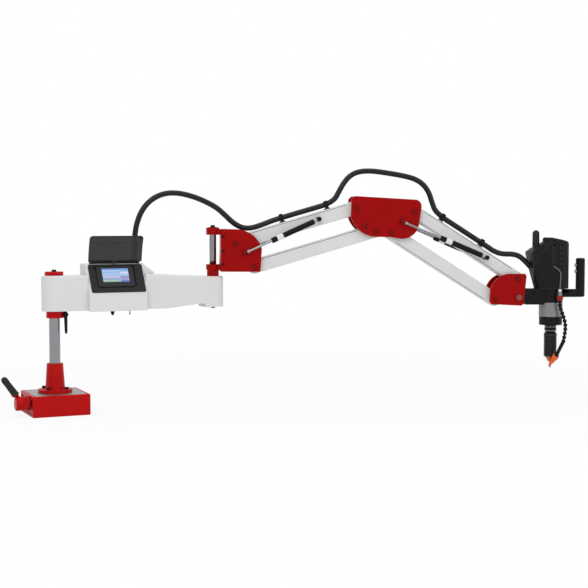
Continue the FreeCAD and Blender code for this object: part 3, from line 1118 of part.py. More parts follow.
def make_conduit():
    clips_1 = [over_link(P1, LINK_SLOPE_1, d) for d in (CLIPS_1[0] - CLIP_RUN, CLIPS_1[1] + CLIP_RUN)]
    clips_2 = [over_link(R1, LINK_SLOPE_2, d) for d in (CLIPS_2[0] - CLIP_RUN, CLIPS_2[1] + CLIP_RUN)]
    mid_1 = over_link(P1, LINK_SLOPE_1, sum(CLIPS_1) / 2)
    mid_2 = over_link(R1, LINK_SLOPE_2, sum(CLIPS_2) / 2)
    low = between(CONDUIT_CLEVIS[2], CONDUIT_CLEVIS[3], 0.5)
    peak = between(CONDUIT_LOOP[4], CONDUIT_LOOP[5], 0.5)
    wrist = between(CONDUIT_HEAD[1], CONDUIT_HEAD[2], 0.5)
    spans = [
        ("conduit_1", [turned(p) for p in CONDUIT_CLEVIS[:3] + [low]]),
        ("conduit_2", [low] + CONDUIT_CLEVIS[3:] + [clips_1[0], mid_1]),
        ("conduit_3", [mid_1, clips_1[1]] + CONDUIT_LOOP[:5] + [peak]),
        ("conduit_4", [peak] + CONDUIT_LOOP[5:] + [clips_2[0], mid_2]),
        ("conduit_5", [mid_2, clips_2[1]] + CONDUIT_HEAD[:2] + [wrist]),
        ("conduit_6", [wrist] + CONDUIT_HEAD[2:]),
    ]
    for name, points in spans:
        if name == "conduit_1":
            save(name, pipe(name, CONDUIT_ARM + points, CONDUIT_R))
        else:
            save(name, pipe(name, points, CONDUIT_R), forearm=True)


make_base()
make_switch()
make_collar()
make_arm()
make_console()
make_lid()
make_glands()
make_post()
make_clevis()
make_clevis_pins()
make_linkage(1, (P1, Q1, P2, Q2), LINK_SLOPE_1, SPRING_1_ALONG, A1, B1, SPRING_1_INSIDE, CLIPS_1)
make_linkage(2, (R1, S1, R2, S2), LINK_SLOPE_2, SPRING_2_ALONG, A2, B2, SPRING_2_INSIDE, CLIPS_2)
make_elbow()
make_wrist()
make_head()
make_handle(make_motor())
make_coolant()
make_conduit()
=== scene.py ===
import math

import bmesh
import bpy
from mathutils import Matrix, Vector
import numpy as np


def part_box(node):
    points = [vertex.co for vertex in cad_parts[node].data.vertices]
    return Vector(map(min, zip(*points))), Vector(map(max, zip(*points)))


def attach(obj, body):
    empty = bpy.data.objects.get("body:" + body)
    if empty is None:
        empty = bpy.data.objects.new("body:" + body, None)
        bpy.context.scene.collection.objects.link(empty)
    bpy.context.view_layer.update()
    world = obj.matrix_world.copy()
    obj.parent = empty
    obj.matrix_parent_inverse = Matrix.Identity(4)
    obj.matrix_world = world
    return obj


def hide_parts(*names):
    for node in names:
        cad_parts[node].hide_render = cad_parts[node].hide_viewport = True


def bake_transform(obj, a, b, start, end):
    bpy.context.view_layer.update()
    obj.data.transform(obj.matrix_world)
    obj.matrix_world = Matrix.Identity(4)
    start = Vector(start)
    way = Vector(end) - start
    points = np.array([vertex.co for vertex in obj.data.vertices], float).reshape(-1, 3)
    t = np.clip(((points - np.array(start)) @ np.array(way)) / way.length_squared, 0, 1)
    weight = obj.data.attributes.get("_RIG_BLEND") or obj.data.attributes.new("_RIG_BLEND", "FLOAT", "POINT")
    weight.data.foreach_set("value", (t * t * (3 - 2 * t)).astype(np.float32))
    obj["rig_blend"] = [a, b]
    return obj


# Arm tapping machine. The origin is under the column, +X runs along the arm and the forearm is
# turned at its post. Lengths in this script are millimetres until a mesh is finished.

MM = 0.001
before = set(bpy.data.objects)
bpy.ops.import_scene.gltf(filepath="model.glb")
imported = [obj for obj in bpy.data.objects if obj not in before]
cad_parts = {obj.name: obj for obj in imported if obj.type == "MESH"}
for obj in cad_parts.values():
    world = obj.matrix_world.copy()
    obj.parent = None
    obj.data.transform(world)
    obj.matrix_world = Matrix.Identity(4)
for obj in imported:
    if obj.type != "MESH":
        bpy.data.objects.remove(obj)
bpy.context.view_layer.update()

# ---- driving sizes, millimetres ----
REACH = 586.0             # column to forearm post
YAW = math.radians(-17.0)
SLOPE_1 = 16.25           # upper link of the first pair, degrees above level
SLOPE_2 = -32.3
LINK_LEN = 465.0
TUBE_H = 50.0
TUBE_W = 40.0
P1 = (80.0, 584.0)        # root of the first upper link, (x, z) along the forearm
ELBOW_STEP = (214.6, -14.0)
LINK_DROP_1 = (70.0, -85.0)   # upper pivot to lower pivot
LINK_DROP_2 = (-85.0, -77.5)
TILT_DROP = (2.9, -70.65)
CLIP_RISE = 17.0
CLIPS_1 = (190.0, 362.0)
CLIPS_2 = (106.0, 283.0)
CLIP_RUN = 28.0
CLIP_HOLD = 9.0           # the conduit keeps to its link this far outside its clips
CONDUIT_R = 10.0
CONDUIT_PITCH = 5.2       # rib to rib

PLATE_FACE = 38.0         # outer face of every red plate from the forearm's middle
SPRING_Y = 54.0
SPRING_R = 10.0
SPRING_ROD_R = 4.0
SPRING_EYE_LEN = 20.0
SPRING_TUBE_LEN = 170.0
SPRING_BALL_R = 8.0
SPRING_END_GAP = 2.4
RING_PITCH = 7.7          # of the grooves round the chuck sleeve

PANEL_TOP_Z = 516.0
PANEL_SLOPE = math.atan2(60.0, 100.0)
PANEL_LEN = math.hypot(60.0, 100.0)
LID_LEN = 97.0
LID_LEAN = math.radians(-16.0)
LID_BOW = 3.0
LID_START = 2.5           # the leaf's foot, from the hinge line
LID_STAND_OFF = 9.0
LID_BARRELS = [(129.3, 206.7), (220.3, 297.7)]   # x of each hinge barrel
LID_FOLD = 71.0           # up the leaf to its fold
COVER_OUT = 153.0         # axis of the motor cover, out from the tilt pin
COVER_R = 49.0
COVER_EDGE = 9.5          # depth of the rounded edge of the cover's top
COVER_FALL = 16.0         # how far the cover's top falls towards the grip
COVER_LEVEL = -25.0       # from the cover's axis to where its top starts to fall
CLAMP_HUB_R = 9.0
CLAMP_HUB_T = 10.0
STUB_X, STUB_Z = -140.0, 76.0       # the magnet switch's bare stub lies beyond these
GRIP_FOOT, GRIP_WAY = (-145.55, -41, 73.46), (-0.5825, 0, 0.8128)   # of the grip on it
POST_BAR = (356.0, 641.5)           # z between which the forearm post is bare bar
ARM_FOOT_Z = 354.8                  # the gland hangs from here
GLAND_X = 208.0
TOGGLE_X, TOGGLE_Z = 271.0, 359.0   # the toggle's pivot
SCREEN_W, SCREEN_H = 95.0, 54.0     # the lit window
SCREEN_INSET, SCREEN_DOWN, SCREEN_OUT = 19.0, 22.0, 5.0     # its place on the panel
STUD_LEN = (22.0, 60.0)             # a ball stud's length lies between these, a pin's doesn't
TILT_PIN_R = 16.0
BLOCK_FACE = 29.7                   # side of the head block from the forearm's middle
TAP_PITCH = 1.5                     # thread to thread
VALVE = (152.0, -58.5)              # the coolant valve, out and across from the tilt pin
ALONG, ACROSS, UP, DOWN = (1, 0, 0), (0, 1, 0), (0, 0, 1), (0, 0, -1)
CREASE = math.radians(30)           # past this angle an edge of a machined piece is sharp

# ---- stage, metres ----
MIDDLE_X = 0.9
FLOOR_HALF = 30.0
FRAME_PX, FOCAL_PX = 588.0, 1300.0    # pixels
CAMERA_AT = (-1.0703, -4.4472, 0.6769)
CAMERA_BEARING = math.atan2(0.91355, 0.40674)
CAMERA_DIP = math.radians(3.35)


def fore(x, y, z):
    """A place given along the forearm, in millimetres, as a point of the row frame."""
    return Vector((REACH + x * math.cos(YAW) - y * math.sin(YAW),
                   x * math.sin(YAW) + y * math.cos(YAW), z)) * MM


def on_arm(x, y, z):
    """A place in millimetres as a point of the row frame."""
    return Vector((x, y, z)) * MM


def polar(start, length, angle):
    """The (along, height) place that lies a length away, at an angle in degrees above level."""
    a = math.radians(angle)
    return (start[0] + length * math.cos(a), start[1] + length * math.sin(a))


def shifted(place, by):
    """An (along, height) place moved by a step."""
    return (place[0] + by[0], place[1] + by[1])


R1 = shifted(polar(P1, LINK_LEN, SLOPE_1), ELBOW_STEP)
TILT = shifted(polar(R1, LINK_LEN, SLOPE_2), TILT_DROP)
SPRING_FEET = {1: shifted(P1, (32.5, -34.5)), 2: shifted(R1, (-49.5, -36.5))}
SPRING_HEADS = {1: polar(P1, 316.0, SLOPE_1), 2: polar(R1, 318.0, SLOPE_2)}


def from_tilt(x, y, z):
    """A place given from the tilt pin, as (along, across, height)."""
    return (TILT[0] + x, y, TILT[1] + z)


def on_panel(x, down, out):
    """A place on the console's sloping face: along it, down it and off it."""
    s, c = math.sin(PANEL_SLOPE), math.cos(PANEL_SLOPE)
    return on_arm(x, -s * down - c * out, PANEL_TOP_Z - c * down + s * out)


def on_lid(x, up, out):
    """A place on the open lid: along its hinge, up the leaf and off its front."""
    s, c = math.sin(PANEL_SLOPE), math.cos(PANEL_SLOPE)
    hinge = (-c * LID_STAND_OFF, PANEL_TOP_Z + s * LID_STAND_OFF)
    return on_arm(x, hinge[0] + math.sin(LID_LEAN) * up - math.cos(LID_LEAN) * out,
                  hinge[1] + math.cos(LID_LEAN) * up + math.sin(LID_LEAN) * out)


# ---- nodes ----
NOISE, RANGE, MIX, MATH, BUMP = ("ShaderNodeTexNoise", "ShaderNodeMapRange", "ShaderNodeMix",
                                 "ShaderNodeMath", "ShaderNodeBump")


def linear(code):
    """An sRGB hex colour as the linear RGBA that a socket takes."""
    out = []
    for i in (1, 3, 5):
        c = int(code[i:i + 2], 16) / 255
        out.append(c / 12.92 if c <= 0.04045 else ((c + 0.055) / 1.055) ** 2.4)
    return (*out, 1.0)


def feed(tree, made, values):
    """Sets a node's inputs by name or number. A value is a number, a colour, a node, one of
    its outputs, or a list of those for an input that takes several."""
    for key, value in values.items():
        for part in value if isinstance(value, list) else [value]:
            if isinstance(part, bpy.types.Node):
                part = part.outputs[0]
            if isinstance(part, bpy.types.NodeSocket):
                tree.links.new(part, made.inputs[key])
            else:
                made.inputs[key].default_value = part


def node(tree, kind, values=None, **settings):
    """Adds a node with its settings and inputs."""
    made = tree.nodes.new(kind)
    for name, value in settings.items():
        setattr(made, name, value)
    feed(tree, made, values or {})
    return made


def material(name, colour, roughness, metallic=0.0, **fixed):
    """A new material and its tree, its shader's fixed numbers set on the shader itself."""
    made = bpy.data.materials.new(name)
    made.use_nodes = True
    tree = made.node_tree
    shader = tree.nodes["Principled BSDF"]
    feed(tree, shader, {"Base Color": linear(colour), "Roughness": roughness, "Metallic": metallic})
    feed(tree, shader, {label.replace("_", " "): value for label, value in fixed.items()})
    made.diffuse_color = linear(colour)
    return made, tree, shader


def places(tree, stretch=(1, 1, 1)):
    """Object coordinates in millimetres, a pattern's lines lying across the stretched axes."""
    size = tuple(share / MM for share in stretch)
    coords = node(tree, "ShaderNodeTexCoord").outputs["Object"]
    return node(tree, "ShaderNodeMapping", {0: coords, 3: size})


def edge_mask_for_wear_and_highlight(tree, radius):
    """1 along outer edges within a radius in millimetres, 0 on flats, and the rounded normal."""
    soft = node(tree, "ShaderNodeBevel", {"Radius": radius * MM}, samples=4)
    hard = node(tree, "ShaderNodeNewGeometry").outputs["Normal"]
    along = node(tree, "ShaderNodeVectorMath", {0: soft, 1: hard}, operation="DOT_PRODUCT")
    edge = node(tree, RANGE, {"Value": along.outputs["Value"], "From Min": 0.995,
                              "From Max": 0.80, "To Min": 0.0, "To Max": 1.0})
    return edge, soft


# ---- finishes ----


def dress(tree, shader, colour, pattern, spread, gloss, texture, depth, strength, normal):
    """Feeds a shader its colour, a gloss that a pattern moves between two levels, and the
    relief of a texture whose depth is in millimetres."""
    shine = node(tree, RANGE, {"Value": pattern, "From Min": spread[0], "From Max": spread[1],
                               "To Min": gloss[0], "To Max": gloss[1]})
    relief = node(tree, BUMP, {"Height": texture, "Distance": depth * MM, "Strength": strength,
                               "Normal": normal})
    feed(tree, shader, {"Base Color": colour, "Roughness": shine, "Normal": relief})


def enamel(name, colour, deep, rubbed, roughness):
    """Sprayed enamel: a faint orange peel, soft corners, and the paint thinner along them."""
    made, tree, shader = material(name, colour, roughness, Specular_IOR_Level=0.1)
    edge, soft = edge_mask_for_wear_and_highlight(tree, 1.5)
    cloud = node(tree, NOISE, {"Vector": places(tree), "Scale": 1 / 90, "Detail": 3})
    field = node(tree, MIX, {0: cloud, 6: linear(deep), 7: linear(colour)}, data_type="RGBA")
    thin = node(tree, MATH, {0: edge, 1: 0.45}, operation="MULTIPLY")
    paint = node(tree, MIX, {0: thin, 6: field.outputs[2], 7: linear(rubbed)}, data_type="RGBA")
    peel = node(tree, NOISE, {"Vector": places(tree), "Scale": 1 / 2.6, "Detail": 1})
    dress(tree, shader, paint.outputs[2], cloud, (0.35, 0.65), (roughness - 0.05, roughness + 0.06),
          peel, 0.05, 0.5, soft)
    return made


def machined(name, colour, deep, roughness, stretch, line):
    """Ground, turned or plated metal. Its lines lie across the stretched axes, and line is
    their spacing in millimetres."""
    made, tree, shader = material(name, colour, roughness, 1.0)
    soft = edge_mask_for_wear_and_highlight(tree, 0.8)[1]
    lines = node(tree, NOISE, {"Vector": places(tree, stretch), "Scale": 1 / line, "Detail": 4,
                               "Roughness": 0.7})
    cloud = node(tree, NOISE, {"Vector": places(tree), "Scale": 1 / 55, "Detail": 3})
    field = node(tree, MIX, {0: cloud, 6: linear(deep), 7: linear(colour)}, data_type="RGBA")
    dress(tree, shader, field.outputs[2], lines, (0.3, 0.7), (roughness - 0.08, roughness + 0.1),
          lines, 0.02, 0.5, soft)
    return made


def moulded(name, colour, edge_wear_and_highlight, roughness, grit, corner=1.2, **fixed):
    """Moulded plastic, and the dead black used for painted shade: a fine spark texture, a little paler along
    its corners, which are as round as corner, in millimetres. The paleness is wear on most finishes and a
    painted highlight on the cover's rim."""
    made, tree, shader = material(name, colour, roughness, **({"Specular_IOR_Level": 0.12} | fixed))
    edge, soft = edge_mask_for_wear_and_highlight(tree, corner)
    cloud = node(tree, NOISE, {"Vector": places(tree), "Scale": 1 / 35, "Detail": 3})
    # paler corners: wear on most finishes, a painted highlight on the cover's rim
    wear_and_highlight_mask = node(tree, MATH, {0: edge, 1: cloud}, operation="MULTIPLY")
    field = node(tree, MIX, {0: wear_and_highlight_mask, 6: linear(colour), 7: linear(edge_wear_and_highlight)}, data_type="RGBA")
    spark = node(tree, NOISE, {"Vector": places(tree), "Scale": 1 / grit, "Detail": 2})
    dress(tree, shader, field.outputs[2], cloud, (0.35, 0.65), (roughness - 0.06, roughness + 0.06),
          spark, 0.06, 0.6, soft)
    return made


# bands of the display's picture, (height, colour) from its foot to its top
SCREEN_MAIN = [(0.0, "#86AE9C"), (0.09, "#A9C4BE"), (0.16, "#7F9CC4"), (0.24, "#9DB2D6"),
               (0.3, "#C79DBB"), (0.36, "#B7CBE8"), (0.44, "#86A9DC"), (0.5, "#BBD2F0"),
               (0.56, "#7FA6DE"), (0.62, "#A9C6EE"), (0.7, "#78A0D8"), (0.76, "#B2CDF2"),
               (0.84, "#8DB0E0"), (0.92, "#5F86C8")]
SCREEN_SIDE = [(0.0, "#6C74B8"), (0.14, "#9AA0D0"), (0.3, "#7E86C0"), (0.42, "#A6BCE4"),
               (0.6, "#C6D8F2"), (0.74, "#8FB2E4"), (0.9, "#6A90CE")]


def lit_screen(name):
    """A small colour display under its glass: flat bands and blocks, softly lit from behind."""
    made, tree, shader = material(name, "#8FA6C8", 0.22, Emission_Strength=0.12)
    spot = node(tree, "ShaderNodeSeparateXYZ", {0: node(tree, "ShaderNodeTexCoord").outputs["UV"]})
    columns = []
    for bands in (SCREEN_MAIN, SCREEN_SIDE):
        ramp = node(tree, "ShaderNodeValToRGB", {0: spot.outputs[1]})
        ramp.color_ramp.interpolation = "CONSTANT"
        stops = ramp.color_ramp.elements
        stops.remove(stops[-1])
        stops[0].color = linear(bands[0][1])
        for start, code in bands[1:]:
            stops.new(start).color = linear(code)
        columns.append(ramp)
    right = node(tree, MATH, {0: spot.outputs[0], 1: 0.68}, operation="GREATER_THAN")
    picture = node(tree, MIX, {0: right, 6: columns[0], 7: columns[1]}, data_type="RGBA").outputs[2]
    feed(tree, shader, {"Base Color": picture, "Emission Color": picture})
    return made


def make_finishes():
    # peel, grit and grinding lines are drawn a few times coarser than real, so that they show
    return {
        # bright sprayed gloss on castings: a clear red with soft, slightly paler corners
        "base_red": enamel("red_enamel", "#BE0F10", "#B00A0B", "#CC3A34", 0.36),
        # the same paint on flame-cut plate, laid on thicker: deeper and more even
        "plate_red": enamel("deep_red_enamel", "#A30202", "#960000", "#B42A24", 0.38),
        # paint over turned pins, rubbed on their rims: the darkest of the reds
        "pin_red": enamel("dark_red_enamel", "#7E0A0A", "#6E0606", "#A83A34", 0.34),
        # baked powder coat: an even off-white with a fine peel and no sharp glints
        "white": enamel("white_powder_coat", "#E2E2E2", "#DADBDC", "#EEEEEE", 0.45),
        # surface-ground steel: straight lines one way, a broad dull shine
        "steel": machined("ground_steel", "#9C9EA0", "#86888A", 0.42, (1, 0.06, 1), 1.4),
        # ground and plated bar: the brightest metal, with faint rings round it
        "chrome": machined("hard_chrome", "#97989B", "#828386", 0.2, (0.05, 0.05, 1), 1.2),
        # lathe-turned steel: bright, with feed lines that catch the light
        "turned": machined("turned_steel", "#A2A3A5", "#88898B", 0.3, (0.05, 0.05, 1), 1.0),
        # chemically blackened steel: near black, oily, grey where it has rubbed
        "black_steel": moulded("black_oxide_steel", "#0C0C0D", "#2A2A2C", 0.42, 0.9,
                               Specular_IOR_Level=0.16),
        # milled iron: coarse straight cutter marks and a dull grey
        "iron": machined("milled_iron", "#5E5F62", "#4A4B4F", 0.5, (1, 0.08, 1), 2.0),
        # blasted and anodised aluminium: a soft satin grey
        "aluminium": machined("satin_aluminium", "#8A8B8D", "#7A7B7D", 0.46, (0.06, 0.06, 1), 1.2),
        # injection-moulded ABS: black, with a fine grain that breaks up its shine
        "plastic": moulded("black_moulding", "#111112", "#2E2E30", 0.44, 1.6),
        # vacuum-formed ABS: a matt black shell; the grey rim along its wide round edges is a painted
        # highlight
        "cover": moulded("matt_black_shell", "#1B1B1C", "#707074", 0.52, 1.6, 5.0,
                         Specular_IOR_Level=0.1),
        # soft-touch overmould: a lifted, chalky grey-black
        "grip": moulded("grey_overmould", "#29292B", "#48484B", 0.55, 1.4),
        # extruded nylon tube: mid grey with a slight wet shine
        "tube": moulded("grey_nylon_tube", "#6A6B6D", "#808183", 0.34, 1.2),
        # dead black without shine, used only as painted shade: in the chuck's grooves, along the links'
        # edges and round the display
        "shade_black": moulded("painted_shade_black", "#0E0E0E", "#242424", 0.65, 1.2, Specular_IOR_Level=0.1),
        # textured panel moulding: dark grey, even and glare-free
        "panel": moulded("dark_grey_moulding", "#2B2B2C", "#454547", 0.48, 1.6),
        # smoother moulding round the display: a shade lighter, with a soft highlight
        "bezel": moulded("charcoal_moulding", "#303132", "#4A4B4C", 0.4, 1.4),
        # phosphated and turned steel: dark grey lands; the black in the grooves between them is painted
        # shade, a dead-black sleeve laid under the lands
        "ring": moulded("phosphated_steel", "#2A2A2C", "#58595C", 0.38, 1.0, Specular_IOR_Level=0.2),
        # copper-plated and turned: a warm orange metal with dark feed lines
        "copper": machined("coppered_collet", "#D07A4A", "#9C5230", 0.34, (0.05, 0.05, 1), 1.0),
        # bent acrylic sheet: clear smoke that darkens what lies behind it
        "smoke": moulded("smoked_acrylic", "#222224", "#2C2C2E", 0.08, 30.0, Transmission_Weight=0.9,
                         Specular_IOR_Level=0.2),
        # corrugated nylon: black ribs, each with a thin highlight
        "conduit": moulded("conduit_sheath", "#161617", "#38383A", 0.36, 1.0, Specular_IOR_Level=0.25),
        # printed vinyl left blank: flat white with a slight sheen
        "label": moulded("white_vinyl", "#E6E6E4", "#F2F2F0", 0.4, 2.5),
        # turned acetal: a milky white with a waxy shine
        "acetal": moulded("white_acetal", "#E8E8E6", "#F4F4F2", 0.32, 1.2),
        # pressed phenolic: a dusty brown-red, glossier where it is handled
        "knob": moulded("red_brown_phenolic", "#8E4A48", "#A86A66", 0.35, 1.5),
        # moulded nylon: a dark orange-red with paler grips
        "nut": moulded("red_orange_nylon", "#8E2A1A", "#B04A30", 0.4, 1.2),
        # moulded acetal: a clean bright orange
        "orange": moulded("orange_acetal", "#E8682E", "#F29060", 0.35, 1.5),
        # solder-masked board: dark green, slightly glossy
        "board": moulded("circuit_board", "#1F4A32", "#2A5C40", 0.5, 1.5),
        # sintered bronze: a dull porous yellow-brown
        "bronze": machined("sintered_bronze", "#9E7A40", "#80602F", 0.42, (0.06, 0.06, 1), 1.0),
        # a lit panel under glass: pale blue bands that glow a little
        "screen": lit_screen("lit_display"),
    }


# ---- meshes ----


def stand(name, data):
    """A new object in the scene, at the origin."""
    made = bpy.data.objects.new(name, data)
    bpy.context.scene.collection.objects.link(made)
    return made


def keep(name, mesh, finish, body, replaces=(), slot=None):
    """Puts a finished mesh in the scene, on its body."""
    piece = stand(name, mesh)
    mesh.materials.clear()
    mesh.materials.append(finishes[finish])
    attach(piece, body)
    if replaces:
        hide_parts(*replaces)
    return piece


def settle(name, work, finish, body, where=fore, crease=35, **declared):
    """Moves a mesh drawn in millimetres to its place and keeps it as a piece."""
    for vertex in work.verts:
        vertex.co = where(*vertex.co)
    bmesh.ops.recalc_face_normals(work, faces=work.faces)
    mesh = bpy.data.meshes.new(name)
    work.to_mesh(mesh)
    work.free()
    mesh.shade_smooth()
    mesh.set_sharp_from_angle(angle=math.radians(crease))
    return keep(name, mesh, finish, body, **declared)


def turned(work, profile, start, way, sides=40, lobes=0, depth=0.0, bored=False):
    """Adds a turned shape from (distance, radius) pairs along a way. Its ends are closed, or
    joined to each other where it is bored. lobes are flutes or grips round it."""
    way = Vector(way).normalized()
    side = way.orthogonal().normalized()
    up = way.cross(side)
    rings = []
    for distance, r in profile:
        centre = Vector(start) + way * distance
        turns = [2 * math.pi * i / sides for i in range(sides if r > 0 else 1)]
        rings.append([work.verts.new(centre + (side * math.cos(a) + up * math.sin(a))
                                     * r * (1 + depth * math.cos(lobes * a))) for a in turns])
    for low, high in zip(rings, rings[1:] + rings[:1] if bored else rings[1:]):
        for i in range(sides):
            j = (i + 1) % sides
            corners = [low[i % len(low)], low[j % len(low)], high[j % len(high)], high[i % len(high)]]
            corners = list(dict.fromkeys(corners))
            if len(corners) > 2:
                work.faces.new(corners)
    if not bored:
        for ring in (rings[0], rings[-1]):
            if len(ring) > 2:
                work.faces.new(ring)


def spun(name, profile, start, way, finish, body, where=fore, replaces=(), **shape):
    """A piece that is one turned shape."""
    work = bmesh.new()
    turned(work, profile, start, way, **shape)
    settle(name, work, finish, body, where, replaces=replaces)


def box_mm(name):
    """A node's lowest and highest corners in millimetres."""
    return [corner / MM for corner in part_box(name)]


def round_node(name):
    """The middle of the foot, the radius and the height of an upright round node."""
    low, high = box_mm(name)
    return ((low.x + high.x) / 2, (low.y + high.y) / 2, low.z), (high.x - low.x) / 2, high.z - low.z


def rounded(width, height, r, steps=5):
    """The outline of a round-cornered rectangle about its middle."""
    outline = []
    for corner, (sx, sy) in enumerate(((1, 1), (-1, 1), (-1, -1), (1, -1))):
        for i in range(steps + 1):
            a = math.radians(90 * corner + 90 * i / steps)
            outline.append((sx * (width / 2 - r) + r * math.cos(a),
                            sy * (height / 2 - r) + r * math.sin(a)))
    return outline


def plate(work, middle, width, height, r, levels):
    """Adds a plate in its first two axes from (height, inset) levels, both ends closed."""
    rings = []
    for level, inset in levels:
        outline = rounded(width - 2 * inset, height - 2 * inset, max(r - inset, 0.3))
        rings.append([work.verts.new((middle[0] + u, middle[1] + v, level)) for u, v in outline])
    for low, high in zip(rings, rings[1:]):
        for i in range(len(low)):
            j = (i + 1) % len(low)
            work.faces.new((low[i], low[j], high[j], high[i]))
    work.faces.new(rings[0])
    work.faces.new(rings[-1])


def share_out(node_name, body, choose):
    """Stands pieces of one finish each in for a machined node that holds several. choose
    takes a face's middle and its solid's size and gives the piece's name and finish, or None
    to leave the face off."""
    whole = bmesh.new()
    whole.from_mesh(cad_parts[node_name].data)
    bmesh.ops.remove_doubles(whole, verts=whole.verts, dist=1e-6)
    whole.faces.ensure_lookup_table()
    owner = {}
    for face in whole.faces:
        if face.index in owner:
            continue
        solid, edge = {face.index: face}, [face]
        while edge:
            for line in edge.pop().edges:
                for other in line.link_faces:
                    if other.index not in solid:
                        solid[other.index] = other
                        edge.append(other)
        spots = [v.co for f in solid.values() for v in f.verts]
        size = Vector([max(c[k] for c in spots) - min(c[k] for c in spots) for k in range(3)]) / MM
        for index, member in solid.items():
            owner[index] = choose(member.calc_center_median() / MM, size)
    pieces = {}
    for name, finish in sorted({label for label in owner.values() if label}):
        part = whole.copy()
        part.faces.ensure_lookup_table()
        away = [f for f in part.faces if owner[f.index] != (name, finish)]
        bmesh.ops.delete(part, geom=away, context="FACES")
        mesh = bpy.data.meshes.new(name)
        part.to_mesh(mesh)
        part.free()
        mesh.shade_smooth()
        mesh.set_sharp_from_angle(angle=CREASE)
        pieces[name] = keep(name, mesh, finish, body, [node_name])
    whole.free()
    return pieces


def grow(obj, tree, finish, sizes):
    """The plain mesh that a node tree grows on an object, which is used up."""
    modifier = obj.modifiers.new("grow", "NODES")
    modifier.node_group = tree
    inputs = sizes | {"Material": finishes[finish]}
    for item in tree.interface.items_tree:
        if item.name in inputs:
            modifier[item.identifier] = inputs[item.name]
    obj.update_tag()
    bpy.context.view_layer.update()
    seen = bpy.context.evaluated_depsgraph_get()
    mesh = bpy.data.meshes.new_from_object(obj.evaluated_get(seen), depsgraph=seen)
    bpy.data.objects.remove(obj)
    return mesh


def geometry_tree(name, inputs):
    """A node tree with a geometry input, named sizes and a material."""
    tree = bpy.data.node_groups.new(name, "GeometryNodeTree")
    tree.interface.new_socket("Geometry", in_out="INPUT", socket_type="NodeSocketGeometry")
    tree.interface.new_socket("Geometry", in_out="OUTPUT", socket_type="NodeSocketGeometry")
    for label, value in inputs.items():
        socket = tree.interface.new_socket(label, in_out="INPUT", socket_type="NodeSocketFloat")
        socket.default_value = value
    tree.interface.new_socket("Material", in_out="INPUT", socket_type="NodeSocketMaterial")
    return tree, node(tree, "NodeGroupInput").outputs


def close_tree(tree, entry, geometry):
    """Ends a tree with its geometry made real and in its material."""
    real = node(tree, "GeometryNodeRealizeInstances", {0: geometry})
    coated = node(tree, "GeometryNodeSetMaterial", {0: real, "Material": entry["Material"]})
    node(tree, "NodeGroupOutput", {0: coated})


# ---- screws ----


def cap_screw_tree():
    """Socket cap screws on points, each standing the way its point carries."""
    tree, entry = geometry_tree("cap_screws", {"Radius": 4 * MM, "Height": 4 * MM})
    flats, crown = (node(tree, MATH, {0: entry["Radius"], 1: share}, operation="MULTIPLY")
                    for share in (0.52, 0.86))
    edge, side = (node(tree, MATH, {0: entry["Height"], 1: share}, operation="MULTIPLY")
                  for share in (0.2, 0.82))
    half = node(tree, MATH, {0: side, 1: 0.5}, operation="MULTIPLY")
    cone = node(tree, "GeometryNodeMeshCone", {
        "Vertices": 28, "Radius Top": crown, "Radius Bottom": entry["Radius"], "Depth": edge})
    drum = node(tree, "GeometryNodeMeshCylinder", {
        "Vertices": 28, "Radius": entry["Radius"], "Depth": side})
    key = node(tree, "GeometryNodeMeshCylinder", {
        "Vertices": 6, "Radius": flats, "Depth": entry["Height"]})
    rim, stem, socket = (
        node(tree, "GeometryNodeTransform", {
            0: shape, "Translation": node(tree, "ShaderNodeCombineXYZ", {2: height})})
        for shape, height in ((cone, side), (drum, half), (key, entry["Height"])))
    solid = node(tree, "GeometryNodeMeshBoolean", {"Mesh 2": [rim, stem]}, operation="UNION")
    screw = node(tree, "GeometryNodeMeshBoolean", {"Mesh 1": solid, "Mesh 2": [socket]},
                 operation="DIFFERENCE")
    way = node(tree, "GeometryNodeInputNamedAttribute", {"Name": "way"}, data_type="FLOAT_VECTOR")
    turn = node(tree, "FunctionNodeAlignRotationToVector", {"Vector": way}, axis="Z")
    placed = node(tree, "GeometryNodeInstanceOnPoints", {
        "Points": entry["Geometry"], "Instance": screw, "Rotation": turn})
    close_tree(tree, entry, placed)
    return tree


def cap_screws(name, tree, spots, radius, height, body, where=fore):
    """Screws at (place, way) spots on one body."""
    origin = where(0, 0, 0)
    base = bpy.data.meshes.new(name)
    base.from_pydata([where(*place) for place, way in spots], [], [])
    ways = base.attributes.new("way", "FLOAT_VECTOR", "POINT")
    for entry, (place, way) in zip(ways.data, spots):
        entry.vector = (where(*way) - origin).normalized()
    mesh = grow(stand(name, base), tree, "black_steel", {"Radius": radius * MM, "Height": height * MM})
    mesh.set_sharp_from_angle(angle=CREASE)
    keep(name, mesh, "black_steel", body)


def make_screws():
    """The screws of the clevis plates, the head block and the base's end plate."""
    tree = cap_screw_tree()

    def both_faces(at, out):
        return [((x, side * out, z), (0, side, 0)) for x, z in at for side in (-1, 1)]
    edge = [(36.0, z) for z in (609.0, 557.0, 510.0)]
    cap_screws("clevis_screws", tree, both_faces(edge, PLATE_FACE), 5.0, 4.0, "clevis")
    block = [shifted(TILT, by) for by in ((63, 18), (42, -3.5), (64, -23))]
    cap_screws("head_block_screws", tree, both_faces(block, BLOCK_FACE), 4.5, 2.5, "head")
    end = box_mm("base_cover")[0].x + 4.0
    cap_screws("end_plate_screws", tree,
               [((end, y, z), (-1, 0, 0)) for y in (-78, 78) for z in (16, 50)],
               3.5, 2.5, "base", on_arm)


# ---- conduit ----


